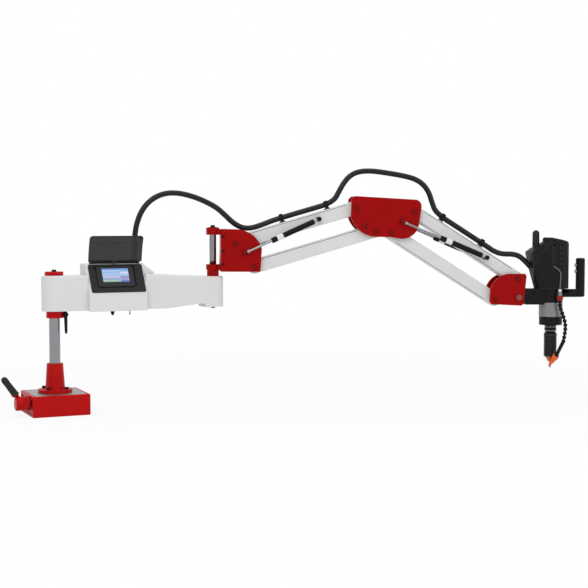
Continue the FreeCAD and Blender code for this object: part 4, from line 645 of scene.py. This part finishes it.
def ribbed_hose_tree():
    """A tube along a curve with round ribs at a pitch, and how far along each ring lies."""
    tree, entry = geometry_tree("ribbed_hose", {"Radius": 10 * MM, "Pitch": 5 * MM, "Rib": 0.07,
                                                "Step": 1.3 * MM})
    even = node(tree, "GeometryNodeResampleCurve", {0: entry["Geometry"], "Length": entry["Step"]},
                mode="LENGTH")
    length = node(tree, "GeometryNodeSplineParameter").outputs["Length"]
    turns = node(tree, MATH, {0: length, 1: entry["Pitch"]}, operation="DIVIDE")
    angle = node(tree, MATH, {0: turns, 1: 2 * math.pi}, operation="MULTIPLY")
    wave = node(tree, MATH, {0: angle}, operation="SINE")
    swell = node(tree, MATH, {0: wave, 1: entry["Rib"], 2: 1.0}, operation="MULTIPLY_ADD")
    marked = node(tree, "GeometryNodeStoreNamedAttribute", {0: even, "Name": "along", "Value": length},
                  data_type="FLOAT", domain="POINT")
    shaped = node(tree, "GeometryNodeSetCurveRadius", {0: marked, "Radius": swell})
    ring = node(tree, "GeometryNodeCurvePrimitiveCircle", {"Resolution": 16, "Radius": entry["Radius"]})
    tube = node(tree, "GeometryNodeCurveToMesh", {0: shaped, 1: ring, "Fill Caps": True})
    close_tree(tree, entry, tube)
    return tree


def nurbs(name, points):
    """A smooth curve led by points, for a tree to grow on."""
    data = bpy.data.curves.new(name, "CURVE")
    data.dimensions = "3D"
    data.resolution_u = 24
    spline = data.splines.new("NURBS")
    spline.points.add(len(points) - 1)
    for point, place in zip(spline.points, points):
        point.co = (*place, 1.0)
    spline.order_u = 3
    spline.use_endpoint_u = True
    return stand(name, data)


def over_link(start, slope, distance):
    """A place of the conduit's middle over a link, as (along, across, height)."""
    rise = TUBE_H / 2 + CLIP_RISE
    x, z = polar(start, distance, slope)
    a = math.radians(slope)
    return (x - rise * math.sin(a), 0.0, z + rise * math.cos(a))


def conduit_route():
    """The conduit's points, the points where one span hands over to the next, and for each
    span where it leaves one body and is wholly on the next. It rides on a link at its clips,
    and bends near the pivots, so that it stays clear of the links at their limits."""
    arm = [(303, 45, 532), (303, 45, 568), (304, 43, 612), (311, 38, 662), (332, 32, 712),
           (368, 26, 748), (412, 20, 766), (458, 15, 767), (505, 10, 757), (552, 5, 740)]
    clevis = [(14, 0, 715), (44, 0, 688), (76, 0, 657), (110, 0, 639.5), (142, 0, 640), (180, 0, 652)]
    loop = [(466, 0, 777), (483, 0, 807), (506, 0, 833), (539, 0, 848), (588, 0, 850),
            (646, 0, 842), (702, 0, 833), (750, 0, 821), (783, 0, 799), (803, 0, 769), (813, 0, 736)]
    head = [from_tilt(x, 0, z) for x, z in ((-87, 172), (-55, 160.5), (-9, 161), (23, 148), (58, 110))]
    run_1, run_2 = (
        [over_link(root, slope, d) for d in (clips[0] - CLIP_RUN, sum(clips) / 2, clips[1] + CLIP_RUN)]
        for root, slope, clips in ((P1, SLOPE_1, CLIPS_1), (R1, SLOPE_2, CLIPS_2)))
    route = [on_arm(*p) for p in arm] + [fore(*p) for p in clevis + run_1 + loop + run_2 + head]
    mid_loop = (fore(*loop[4]) + fore(*loop[5])) / 2
    handovers = [fore(*clevis[1]), fore(*run_1[1]), mid_loop, fore(*run_2[1]), fore(*head[2])]
    off_1 = fore(*over_link(P1, SLOPE_1, CLIPS_1[1] + CLIP_HOLD))
    on_2 = fore(*over_link(R1, SLOPE_2, CLIPS_2[0] - CLIP_HOLD))
    bends = [(on_arm(*arm[-1]), handovers[0]), (handovers[0], fore(*clevis[4])), (off_1, mid_loop),
             (mid_loop, on_2), (fore(*head[0]), handovers[4]), (handovers[4], route[-1])]
    return route, handovers, bends


def split_by_length(mesh, marks):
    """Cuts a tube's mesh into one mesh for each stretch between lengths along it."""
    shares = []
    for low, high in zip([-math.inf] + marks, marks + [math.inf]):
        work = bmesh.new()
        work.from_mesh(mesh)
        along = work.verts.layers.float["along"]
        away = [f for f in work.faces
                if not low <= sum(v[along] for v in f.verts) / len(f.verts) < high]
        bmesh.ops.delete(work, geom=away, context="FACES")
        share = bpy.data.meshes.new(mesh.name)
        work.to_mesh(share)
        share.materials.append(mesh.materials[0])
        work.free()
        shares.append(share)
    return shares


def make_conduit():
    """The ribbed conduit, one piece for each joint that it crosses."""
    route, handovers, bends = conduit_route()
    mesh = grow(nurbs("conduit", route), ribbed_hose_tree(), "conduit",
                {"Radius": CONDUIT_R * MM, "Pitch": CONDUIT_PITCH * MM})
    along = mesh.attributes["along"].data
    marks = []
    for place in handovers:
        nearest = min(range(len(mesh.vertices)), key=lambda i: (mesh.vertices[i].co - place).length)
        marks.append(along[nearest].value)
    bodies = ["arm", "clevis", "link_1_upper", "elbow", "link_2_upper", "wrist", "head"]
    for i, (share, (start, end)) in enumerate(zip(split_by_length(mesh, marks), bends)):
        piece = stand(f"ribbed_conduit_{i + 1}", share)
        share.shade_smooth()
        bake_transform(piece, bodies[i], bodies[i + 1], start=start, end=end)
        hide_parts(f"conduit_{i + 1}")


# ---- base, arm and console ----


def make_clamp_handle():
    """The clamp lever: a round hub on the collar's screw and a tapered handle hanging from it."""
    low, high = box_mm("clamp_lever")
    x, z = (low.x + high.x) / 2, high.z - CLAMP_HUB_R
    seat, reach = low.y + CLAMP_HUB_T + 4.0, z - low.z - 5.0
    screw = high.y - seat + CLAMP_HUB_T
    work = bmesh.new()
    turned(work, [(0, 0), (0, 7.4), (1.6, CLAMP_HUB_R), (CLAMP_HUB_T, CLAMP_HUB_R), (CLAMP_HUB_T, 4.0),
                  (screw, 4.0), (screw, 0)], (x, seat - CLAMP_HUB_T, z), ACROSS, 36)
    turned(work, [(0, 0), (2, 5.0), (9, 6.0), (18, 6.0), (reach - 6, 4.9), (reach, 4.4),
                  (reach + 3.4, 2.8), (reach + 4.4, 0)],
           (x, seat - CLAMP_HUB_T / 2, z), (0, -4.0, -reach), 28)
    settle("clamp_handle", work, "plastic", "clamp_lever", on_arm, replaces=["clamp_lever"])


def make_switch():
    """The magnet switch's painted hub, and a ribbed dark grip on its stub."""
    share_out("magnet_switch", "magnet_switch", lambda middle, size:
              None if middle.z > STUB_Z and middle.x < STUB_X else ("switch_hub", "base_red"))
    profile = [(0, 9.0), (0, 12.0), (2, 13.0)]
    for rib in range(6):
        start, taper = 6 + 8 * rib, 0.25 * rib
        profile += [(start, 12.9 - taper), (start + 2, 11.6 - taper), (start + 4, 11.6 - taper),
                    (start + 6, 12.7 - taper)]
    profile += [(58, 11.6), (66, 11.4), (71, 10.0), (75, 7.0), (77.2, 0)]
    spun("switch_grip", profile, GRIP_FOOT, GRIP_WAY, "panel", "magnet_switch", on_arm)


def make_arm_details():
    """Finishes of the arm's small machined pieces that share a node."""
    share_out("console_housing", "arm", lambda middle, size:
              ("console_hinge", "panel") if middle.z > PANEL_TOP_Z + 0.3 else ("console_shell", "white"))
    share_out("arm_bottom_cover", "arm", lambda middle, size:
              ("arm_cover_plate", "white") if size.x > 100 else ("underside_fittings", "plastic"))
    share_out("arm_bearings", "arm", lambda middle, size:
              ("forearm_thrust_ring", "plate_red") if middle.x > REACH / 2 else ("column_bushes", "bronze"))
    share_out("forearm_post", "arm", lambda middle, size:
              ("forearm_column", "chrome") if POST_BAR[0] <= middle.z <= POST_BAR[1]
              else ("forearm_post_bolts", "black_steel"))


def make_underside():
    """The power cable's strain relief and the toggle's bright lever under the arm."""
    spun("power_gland", [(0, 8.6), (6, 8.4), (8, 7.4), (19, 4.6), (21, 3.2), (21, 0)],
         (GLAND_X, 0, ARM_FOOT_Z), DOWN, "plastic", "arm", on_arm, sides=28)
    spun("toggle_nut", [(0, 6.4), (3, 6.4), (4, 5.0), (7.5, 4.6), (8, 3.4), (8, 0)],
         (TOGGLE_X, 0, ARM_FOOT_Z - 0.2), DOWN, "turned", "arm", on_arm, sides=6)
    spun("toggle_bat", [(0, 0), (0, 1.7), (20, 2.0), (21, 3.0), (23, 3.2), (25, 2.2), (25.6, 0)],
         (TOGGLE_X, 0, TOGGLE_Z), DOWN, "turned", "toggle_lever", on_arm, ["toggle_lever"], sides=20)


def make_panel():
    """The console's face: a moulded frame, the display's bezel, the lit screen, and round it dark pieces of
    painted shade, a band for the bezel's shadow and a strip for a dark recess, with a small stud."""
    low, high = box_mm("panel_frame")
    tall = PANEL_LEN - 5.0
    work = bmesh.new()
    plate(work, ((low.x + high.x) / 2, 4.0 + tall / 2), high.x - low.x, tall, 7.0,
          [(0, 0), (2.0, 0), (2.8, 0.5), (3.0, 1.4), (3.0, 5.0), (2.2, 6.0)])
    settle("panel_face", work, "panel", "arm", on_panel, replaces=["panel_frame"], slot="dark_panel")
    low, high = box_mm("display")
    width, centre = high.x - low.x, ((low.x + high.x) / 2, 54.0)
    work = bmesh.new()
    plate(work, centre, width, 80.0, 7.0,
          [(2.2, 0), (5.0, 0), (5.8, 0.7), (6.0, 2.0), (6.0, 6.0), (4.6, 8.0)])
    settle("display_bezel", work, "bezel", "arm", on_panel, replaces=["display"], slot="display")
    left, top = low.x + SCREEN_INSET, SCREEN_DOWN
    right, foot = left + SCREEN_W, top + SCREEN_H
    corners = ((left, foot), (right, foot), (right, top), (left, top))
    mesh = bpy.data.meshes.new("display_screen")
    mesh.from_pydata([on_panel(x, down, SCREEN_OUT) for x, down in corners], [], [(0, 1, 2, 3)])
    sheet = mesh.uv_layers.new(name="screen")
    for loop, place in zip(sheet.data, ((0, 0), (1, 0), (1, 1), (0, 1))):
        loop.uv = place
    keep("display_screen", mesh, "screen", "arm", slot="display")
    work = bmesh.new()
    # painted shadow: a dead-black band round the bezel
    plate(work, centre, width + 5.0, 85.0, 9.0, [(2.2, 0), (3.1, 0), (3.3, 0.5), (3.3, 6.0)])
    # painted shade: a dead-black strip where a tall recess right of the display falls dark
    plate(work, (right + 18.0, 49.0), 12.0, 84.0, 2.0,
          [(2.2, 0), (3.2, 0), (3.4, 0.6), (3.4, 1.6), (2.6, 2.4)])
    plate(work, (left - 24.0, 18.0), 8.0, 8.0, 1.5, [(2.2, 0), (4.2, 0), (4.6, 0.6)])
    settle("panel_painted_shade_and_stud", work, "shade_black", "arm", on_panel)


def make_lid():
    """The smoked lid: a thin curved leaf with a lip, held on two long hinge barrels."""
    low, high = box_mm("panel_lid")
    left, width = low.x, high.x - low.x
    corner_r, columns, rows = 9.0, 30, 22
    path = []
    for i in range(rows + 1):
        up = LID_START + (LID_LEN - LID_START) * i / rows
        path.append((up, -LID_BOW * (1 - (2 * up / LID_LEN - 1) ** 2) + max(0.0, up - LID_FOLD) * 0.05))
    path += [(LID_LEN - 0.3, 2.6), (LID_LEN - 0.6, 4.0)]
    verts, faces = [], []
    for up, out in path:
        over = max(0.0, up - (LID_LEN - corner_r))
        pull = corner_r - math.sqrt(max(corner_r ** 2 - over ** 2, 0.0))
        verts += [on_lid(left + pull + (width - 2 * pull) * i / columns, up, out)
                  for i in range(columns + 1)]
    for row in range(len(path) - 1):
        for i in range(columns):
            a = row * (columns + 1) + i
            faces.append((a, a + 1, a + columns + 2, a + columns + 1))
    mesh = bpy.data.meshes.new("smoked_lid")
    mesh.from_pydata(verts, [], faces)
    mesh.shade_smooth()
    leaf = keep("smoked_lid", mesh, "smoke", "panel_lid", ["panel_lid"], "smoked_lid")
    wall = leaf.modifiers.new("wall", "SOLIDIFY")
    wall.thickness, wall.offset = 2.2 * MM, 0.0
    work = bmesh.new()
    for start, end in LID_BARRELS:
        length = end - start
        turned(work, [(0, 2.1), (0, 3.9), (0.6, 4.5), (length - 0.6, 4.5), (length, 3.9), (length, 2.1)],
               (start, 0, 0), ALONG, 24, bored=True)
        for up in (2.0, 7.5):
            turned(work, [(2, 1.2), (length - 2, 1.2)], (start, up, -0.2), ALONG, 10)
    turned(work, [(0, 0), (0.1, 3.2), (2.6, 3.6), (3.4, 3.0), (3.5, 0)],
           (high.x - 9, LID_LEN - 8, 0.6), (0, 0, 1), 24)
    settle("lid_barrels", work, "plastic", "panel_lid", on_lid)
    work = bmesh.new()
    for inset, up, out, r in ((corner_r, LID_LEN - 1.4, 3.0, 1.1), (2.0, LID_FOLD, -1.3, 0.45)):
        length = width - 2 * inset
        turned(work, [(0, 0), (0.4, r), (length - 0.4, r), (length, 0)], (left + inset, up, out), ALONG, 12)
    settle("lid_lip", work, "plastic", "panel_lid", on_lid)


# ---- forearm ----


def make_pins():
    """Painted pivot pins, and the ball studs that share their nodes."""
    def pin_or_stud(label):
        return lambda middle, size: (f"{label}_ball_studs" if STUD_LEN[0] <= size.y <= STUD_LEN[1]
                                     else f"{label}_pins", "pin_red")
    share_out("clevis_pins", "clevis", pin_or_stud("clevis"))
    share_out("elbow_pins", "elbow", pin_or_stud("elbow"))
    tilt = fore(TILT[0], 0, TILT[1]) / MM

    def tilt_or_pivot(middle, size):
        near = abs(middle.x - tilt.x) < TILT_PIN_R and abs(middle.z - tilt.z) < TILT_PIN_R
        return ("tilt_pin", "black_steel") if near else ("wrist_pivot_pins", "pin_red")
    share_out("wrist_pins", "wrist", tilt_or_pivot)


def make_link_shade_strips():
    """Thin dead-black strips along the edges of each link, on both its faces: painted shade where the tubes'
    edges fall dark.
    """
    for name, start, slope, edges in (
            ("link_1_upper", P1, SLOPE_1, (1,)),
            ("link_1_lower", shifted(P1, LINK_DROP_1), SLOPE_1, (1,)),
            ("link_2_upper", R1, SLOPE_2, (1, -1)),
            ("link_2_lower", shifted(R1, LINK_DROP_2), SLOPE_2, (-1,))):
        a = math.radians(slope)

        def along_link(x, y, z):
            return fore(start[0] + x * math.cos(a) - z * math.sin(a), y,
                        start[1] + x * math.sin(a) + z * math.cos(a))
        work = bmesh.new()
        for side in (-1, 1):
            for edge in edges:
                plate(work, (LINK_LEN / 2, side * TUBE_W / 2), LINK_LEN - 70.0, 0.9, 0.4,
                      [(edge * (TUBE_H / 2 - 5.4), 0), (edge * (TUBE_H / 2 - 4.0), 0)])
        # painted shade: dark strips where the tube's edge falls in shade
        settle(f"{name}_seam", work, "shade_black", name, along_link)


def make_springs():
    """Gas springs: black barrel with a blank label, bright neck, chromed rod and end nut."""
    end = SPRING_EYE_LEN + SPRING_TUBE_LEN    # of the barrel
    barrel = [(20, 5.2), (20, 8.6), (21.6, SPRING_R), (end - 9, SPRING_R), (end - 8, SPRING_R - 0.6),
              (end - 7, SPRING_R), (end - 1.2, SPRING_R), (end, 8.8), (end, SPRING_ROD_R + 0.3),
              (end - 8, SPRING_ROD_R + 0.3), (end - 8, 8.5), (26, 8.5), (26, 5.2)]
    eye = [(-6, 5.2), (-6, 7.6), (-5, 8.5), (5, 8.5), (6, 7.6), (6, 5.2)]
    neck = [(7, 4.6), (9, 5.0), (26, 5.0)]
    label = [(end - 46, SPRING_R), (end - 46, SPRING_R + 0.2), (end - 22, SPRING_R + 0.2),
             (end - 22, SPRING_R)]
    for number in (1, 2):
        head, foot = SPRING_HEADS[number], SPRING_FEET[number]
        length = math.dist(head, foot)
        way = ((foot[0] - head[0]) / length, 0, (foot[1] - head[1]) / length)
        tip = length - SPRING_BALL_R - SPRING_END_GAP
        rod = [(end - 42, 0), (end - 42, SPRING_ROD_R), (tip, SPRING_ROD_R), (tip, 0)]
        nut = [(tip - 11, SPRING_ROD_R), (tip - 11, 5.4), (tip - 10, 6.0), (tip - 1, 6.0), (tip, 5.2),
               (tip, SPRING_ROD_R)]
        tubes, rods = f"spring_{number}_tubes", f"spring_{number}_rods"
        for name, finish, body, replaces, shapes in (
                ("barrels", "plastic", tubes, [tubes], [(barrel, way, 36, True), (eye, ACROSS, 32, True)]),
                ("necks", "turned", tubes, [], [(neck, way, 24, False)]),
                ("labels", "label", tubes, [], [(label, way, 36, True)]),
                ("rods", "chrome", rods, [rods], [(rod, way, 24, False)]),
                ("nuts", "turned", rods, [], [(nut, way, 24, True)])):
            work = bmesh.new()
            for side in (-1, 1):
                for profile, aim, sides, bored in shapes:
                    turned(work, profile, (head[0], side * SPRING_Y, head[1]), aim, sides, bored=bored)
            settle(f"gas_spring_{number}_{name}", work, finish, body, replaces=replaces)


# ---- tapping head ----


def make_cover():
    """The motor cover, whose top falls towards the grip, and the two grips' own finishes."""
    shell = share_out("motor_cover", "head", lambda middle, size: ("motor_shell", "cover"))["motor_shell"]
    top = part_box("motor_cover")[1].z - COVER_EDGE * MM
    axis = fore(TILT[0] + COVER_OUT, 0, 0)
    way = (fore(1, 0, 0) - fore(0, 0, 0)).normalized()
    for vertex in shell.data.vertices:
        along = ((vertex.co - axis).dot(way) / MM - COVER_LEVEL) / (COVER_R - COVER_LEVEL)
        if vertex.co.z > top:
            vertex.co.z -= COVER_FALL * min(max(along, 0.0), 1.0) * MM
    share_out("handles", "head", lambda middle, size:
              ("rear_grip", "grip") if size.z < 100 else ("main_handle", "plastic"))


def make_chuck():
    """The ringed chuck sleeve with painted shade in its grooves, the black band on the bright neck, and the
    fluted tap.
    """
    foot, r, tall = round_node("chuck_sleeve")
    profile = [(0, r - 3.8), (0, r - 2.2), (2.2, r)]
    for i in range(int((tall - 8) / RING_PITCH)):
        z = 4.5 + RING_PITCH * i
        profile += [(z, r), (z + 0.6, r - 2.4), (z + 3.2, r - 2.4), (z + 3.8, r)]
    profile += [(tall - 0.8, r), (tall, r - 0.8), (tall, r - 3.8)]
    spun("ringed_chuck_sleeve", profile, foot, UP, "ring", "chuck_sleeve", on_arm, ["chuck_sleeve"],
         sides=48, bored=True)
    # painted shade: a dead-black sleeve just proud of the groove bottoms, so that the grooves show black
    spun("chuck_groove_painted_shade", [(4.0, r - 3.6), (4.0, r - 2.2), (tall - 2, r - 2.2), (tall - 2, r - 3.6)],
         foot, UP, "shade_black", "chuck_sleeve", on_arm, sides=48, bored=True)
    share_out("spindle", "spindle", lambda middle, size:
              ("collet_nose", "copper") if middle.z < foot[2] + 0.5 else ("spindle_shaft", "turned"))
    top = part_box("gearbox_collar")[0].z / MM
    spun("neck_band", [(0, 21.3), (0, 21.7), (0.8, 22.3), (9.2, 22.3), (10, 21.7), (10, 21.3)],
         (*foot[:2], top - 20.5), UP, "black_steel", "spindle", on_arm, sides=48, bored=True)
    tip, r, tall = round_node("tap")
    threads = [(0, 1.2), (1.0, 1.6), (6.0, r * 0.94)]
    for i in range(16):
        threads += [(6.6 + TAP_PITCH * i, r * 0.98), (7.3 + TAP_PITCH * i, r * 0.84)]
    spun("fluted_tap", threads + [(31.5, r * 0.8), (tall, r * 0.8)], (*foot[:2], tip[2]), UP, "turned",
         "spindle", on_arm, ["tap"], sides=48, lobes=4, depth=0.12)


def jointed_hose_tree():
    """Ball-and-cuff segments threaded along a curve."""
    tree, entry = geometry_tree("jointed_hose", {"Radius": 7.5 * MM, "Pitch": 14 * MM})
    spots = node(tree, "GeometryNodeCurveToPoints", {0: entry["Geometry"], "Length": entry["Pitch"]},
                 mode="LENGTH")
    ball = node(tree, "GeometryNodeMeshUVSphere", {"Segments": 24, "Rings": 14, "Radius": entry["Radius"]})
    waist, collar = (node(tree, MATH, {0: entry["Radius"], 1: share}, operation="MULTIPLY")
                     for share in (0.5, 0.66))
    run = node(tree, MATH, {0: entry["Pitch"], 1: 0.72}, operation="MULTIPLY")
    cuff = node(tree, "GeometryNodeMeshCone", {"Vertices": 24, "Radius Top": waist,
                                               "Radius Bottom": collar, "Depth": run})
    segment = node(tree, "GeometryNodeJoinGeometry", {0: [ball, cuff]})
    threaded = node(tree, "GeometryNodeInstanceOnPoints", {
        "Points": spots, "Instance": segment, "Rotation": spots.outputs["Rotation"]})
    smooth = node(tree, "GeometryNodeSetShadeSmooth", {0: threaded})
    close_tree(tree, entry, smooth)
    return tree


def make_coolant():
    """The coolant line: a jointed hose, its adapter and the orange nozzle."""
    route = [(*VALVE, -14), (*VALVE, -33), (160.5, -58.5, -54), (174, -58, -93.5), (176, -57, -123),
             (169.5, -53, -165)]
    mesh = grow(nurbs("jointed_hose", [fore(*from_tilt(*p)) for p in route]), jointed_hose_tree(),
                "plastic", {"Radius": 7.7 * MM, "Pitch": 14.4 * MM})
    keep("jointed_hose", mesh, "plastic", "head", ["coolant_hose"])
    end, middle, tip = (Vector(from_tilt(*p)) for p in (route[-1], (146.6, -42, -219), (126.5, -16, -260)))
    run, jet = (middle - end).length, (tip - middle).length
    spun("hose_adapter", [(-6, 6.6), (-6, 7.4), (0, 7.4), (2, 6.8), (run - 8, 6.4), (run - 6, 8.4),
                          (run + 4, 8.4)], end, middle - end, "plastic", "head", sides=32)
    spun("coolant_nozzle", [(0, 9.0), (0, 11.2), (1, 12.0), (9, 11.6), (jet - 1.5, 3.6), (jet, 3.2),
                            (jet, 1.8), (jet - 4, 1.8)], middle, tip - middle, "orange", "head")


def make_valve():
    """The coolant valve's nut and ball fitting, and the thin feed tube down the cover."""
    foot, r, tall = round_node("coolant_knob")
    spun("valve_nut", [(0, 5.2), (0, r * 0.56), (5, r * 0.6), (6, r * 0.8), (tall - 1.5, r * 0.8),
                       (tall, r * 0.72), (tall, 5.2)], foot, UP, "nut", "coolant_knob", on_arm,
         ["coolant_knob"], sides=64, lobes=8, depth=0.08, bored=True)
    spun("ball_fitting", [(0, 0), (0.6, 3.4), (2.6, 5.6), (6, 6.6), (9.6, 5.6), (11.8, 3.2), (12.4, 0)],
         from_tilt(*VALVE, 19), UP, "acetal", "head", sides=32)
    route = [(*VALVE, 28), (153, -58.5, 52), (156, -58, 80), (154, -56, 98), (140, -50, 110),
             (132, -42, 116)]
    mesh = grow(nurbs("feed_tube", [fore(*from_tilt(*p)) for p in route]), ribbed_hose_tree(), "tube",
                {"Radius": 2.3 * MM, "Rib": 0.0, "Step": 3 * MM})
    mesh.shade_smooth()
    keep("feed_tube", mesh, "tube", "head")


# ---- finishes on the machined pieces that stay whole ----
COATS = {
    "base_red": ["base_cover", "column_cap", "clamp_collar", "column_flange"],
    "plate_red": ["clevis_bracket", "clevis_plates", "elbow_plates", "wrist_plates"],
    "white": ["arm_casting", "link_1_upper", "link_1_lower", "link_2_upper", "link_2_lower"],
    "steel": ["base_top_plate", "spindle_bearings"],
    "chrome": ["column", "button_upper", "button_lower"],
    "black_steel": ["flange_and_cap_bolts", "link_1_fittings", "link_2_fittings", "head_block",
                    "gearbox_collar"],
    "iron": ["magnet_block"],
    "aluminium": ["gearbox_housing", "servo_motor", "coolant_valve"],
    "plastic": ["conduit_gland"],
    "knob": ["tilt_knob"],
    "board": ["control_board"],
}


def coat_nodes():
    """Gives every machined piece that stays whole its finish."""
    for coat, names in COATS.items():
        for name in names:
            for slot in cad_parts[name].material_slots:
                slot.material = finishes[coat]


# ---- stage ----


def seen_rays(tree):
    """1 for the rays that show a thing directly, in a reflection or through glass."""
    rays = node(tree, "ShaderNodeLightPath").outputs
    seen = node(tree, MATH, {0: rays["Is Camera Ray"], 1: rays["Is Glossy Ray"]}, operation="MAXIMUM")
    return node(tree, MATH, {0: seen, 1: rays["Is Transmission Ray"]}, operation="MAXIMUM")


def make_floor():
    """A white floor that keeps the shadow near the object."""
    made = bpy.data.materials.new("floor")
    made.use_nodes = True
    tree = made.node_tree
    tree.nodes.clear()
    white = node(tree, "ShaderNodeEmission", {"Color": (1, 1, 1, 1), "Strength": 1.0})
    matte = node(tree, "ShaderNodeBsdfDiffuse", {"Color": linear("#F4F4F4")})
    centred = node(tree, "ShaderNodeMapping", {0: node(tree, "ShaderNodeTexCoord").outputs["Object"],
                                               1: (-MIDDLE_X, 0, 0)})
    out = node(tree, "ShaderNodeVectorMath", {0: centred}, operation="LENGTH").outputs["Value"]
    far = node(tree, RANGE, {"Value": out, "From Min": 0.9, "From Max": 2.6, "To Min": 0.86, "To Max": 1.0})
    shown = node(tree, MATH, {0: seen_rays(tree), 1: far}, operation="MULTIPLY")
    mix = node(tree, "ShaderNodeMixShader", {0: shown, 1: matte, 2: white})
    node(tree, "ShaderNodeOutputMaterial", {0: mix})
    mesh = bpy.data.meshes.new("floor")
    mesh.from_pydata([(FLOOR_HALF * x, FLOOR_HALF * y, 0) for x, y in ((-1, -1), (1, -1), (1, 1), (-1, 1))],
                     [], [(0, 1, 2, 3)])
    mesh.materials.append(made)
    stand("floor", mesh)


def make_lights():
    """Soft light from all round, which shows as white, and three area lamps."""
    world = bpy.data.worlds.new("studio")
    bpy.context.scene.world = world
    world.use_nodes = True
    tree = world.node_tree
    tree.nodes.clear()
    level = node(tree, RANGE, {"Value": seen_rays(tree), "To Min": 0.6, "To Max": 1.0})
    back = node(tree, "ShaderNodeBackground", {"Color": (1, 1, 1, 1), "Strength": level})
    node(tree, "ShaderNodeOutputWorld", {0: back})
    lamps = [("key", (-1.6, -3.0, 3.2), (MIDDLE_X, 0, 0.4), 2.2, 48),
             ("fill", (3.4, -3.4, 2.0), (1.0, 0, 0.5), 2.4, 22),
             ("top", (MIDDLE_X, 0.4, 3.6), (MIDDLE_X, 0, 0.4), 2.8, 34)]
    for name, at, aim, size, power in lamps:
        data = bpy.data.lights.new(name, "AREA")
        data.size = size
        data.energy = power
        lamp = stand(name, data)
        lamp.location = at
        lamp.rotation_euler = (Vector(aim) - Vector(at)).to_track_quat("-Z", "Y").to_euler()


def make_camera():
    """The camera, which looks a little down at the object from its near left."""
    data = bpy.data.cameras.new("camera")
    data.sensor_width = 36.0
    data.lens = FOCAL_PX / FRAME_PX * data.sensor_width
    camera = stand("camera", data)
    camera.location = CAMERA_AT
    aim = Vector((math.cos(CAMERA_BEARING) * math.cos(CAMERA_DIP),
                  math.sin(CAMERA_BEARING) * math.cos(CAMERA_DIP), -math.sin(CAMERA_DIP)))
    camera.rotation_euler = aim.to_track_quat("-Z", "Y").to_euler()
    bpy.context.scene.camera = camera
    bpy.context.scene.view_settings.view_transform = "Standard"


finishes = make_finishes()
coat_nodes()
make_switch()
make_clamp_handle()
make_arm_details()
make_underside()
make_panel()
make_lid()
make_pins()
make_link_shade_strips()
make_springs()
make_cover()
make_chuck()
make_coolant()
make_valve()
make_screws()
make_conduit()
make_floor()
make_lights()
make_camera()
bpy.context.view_layer.update()
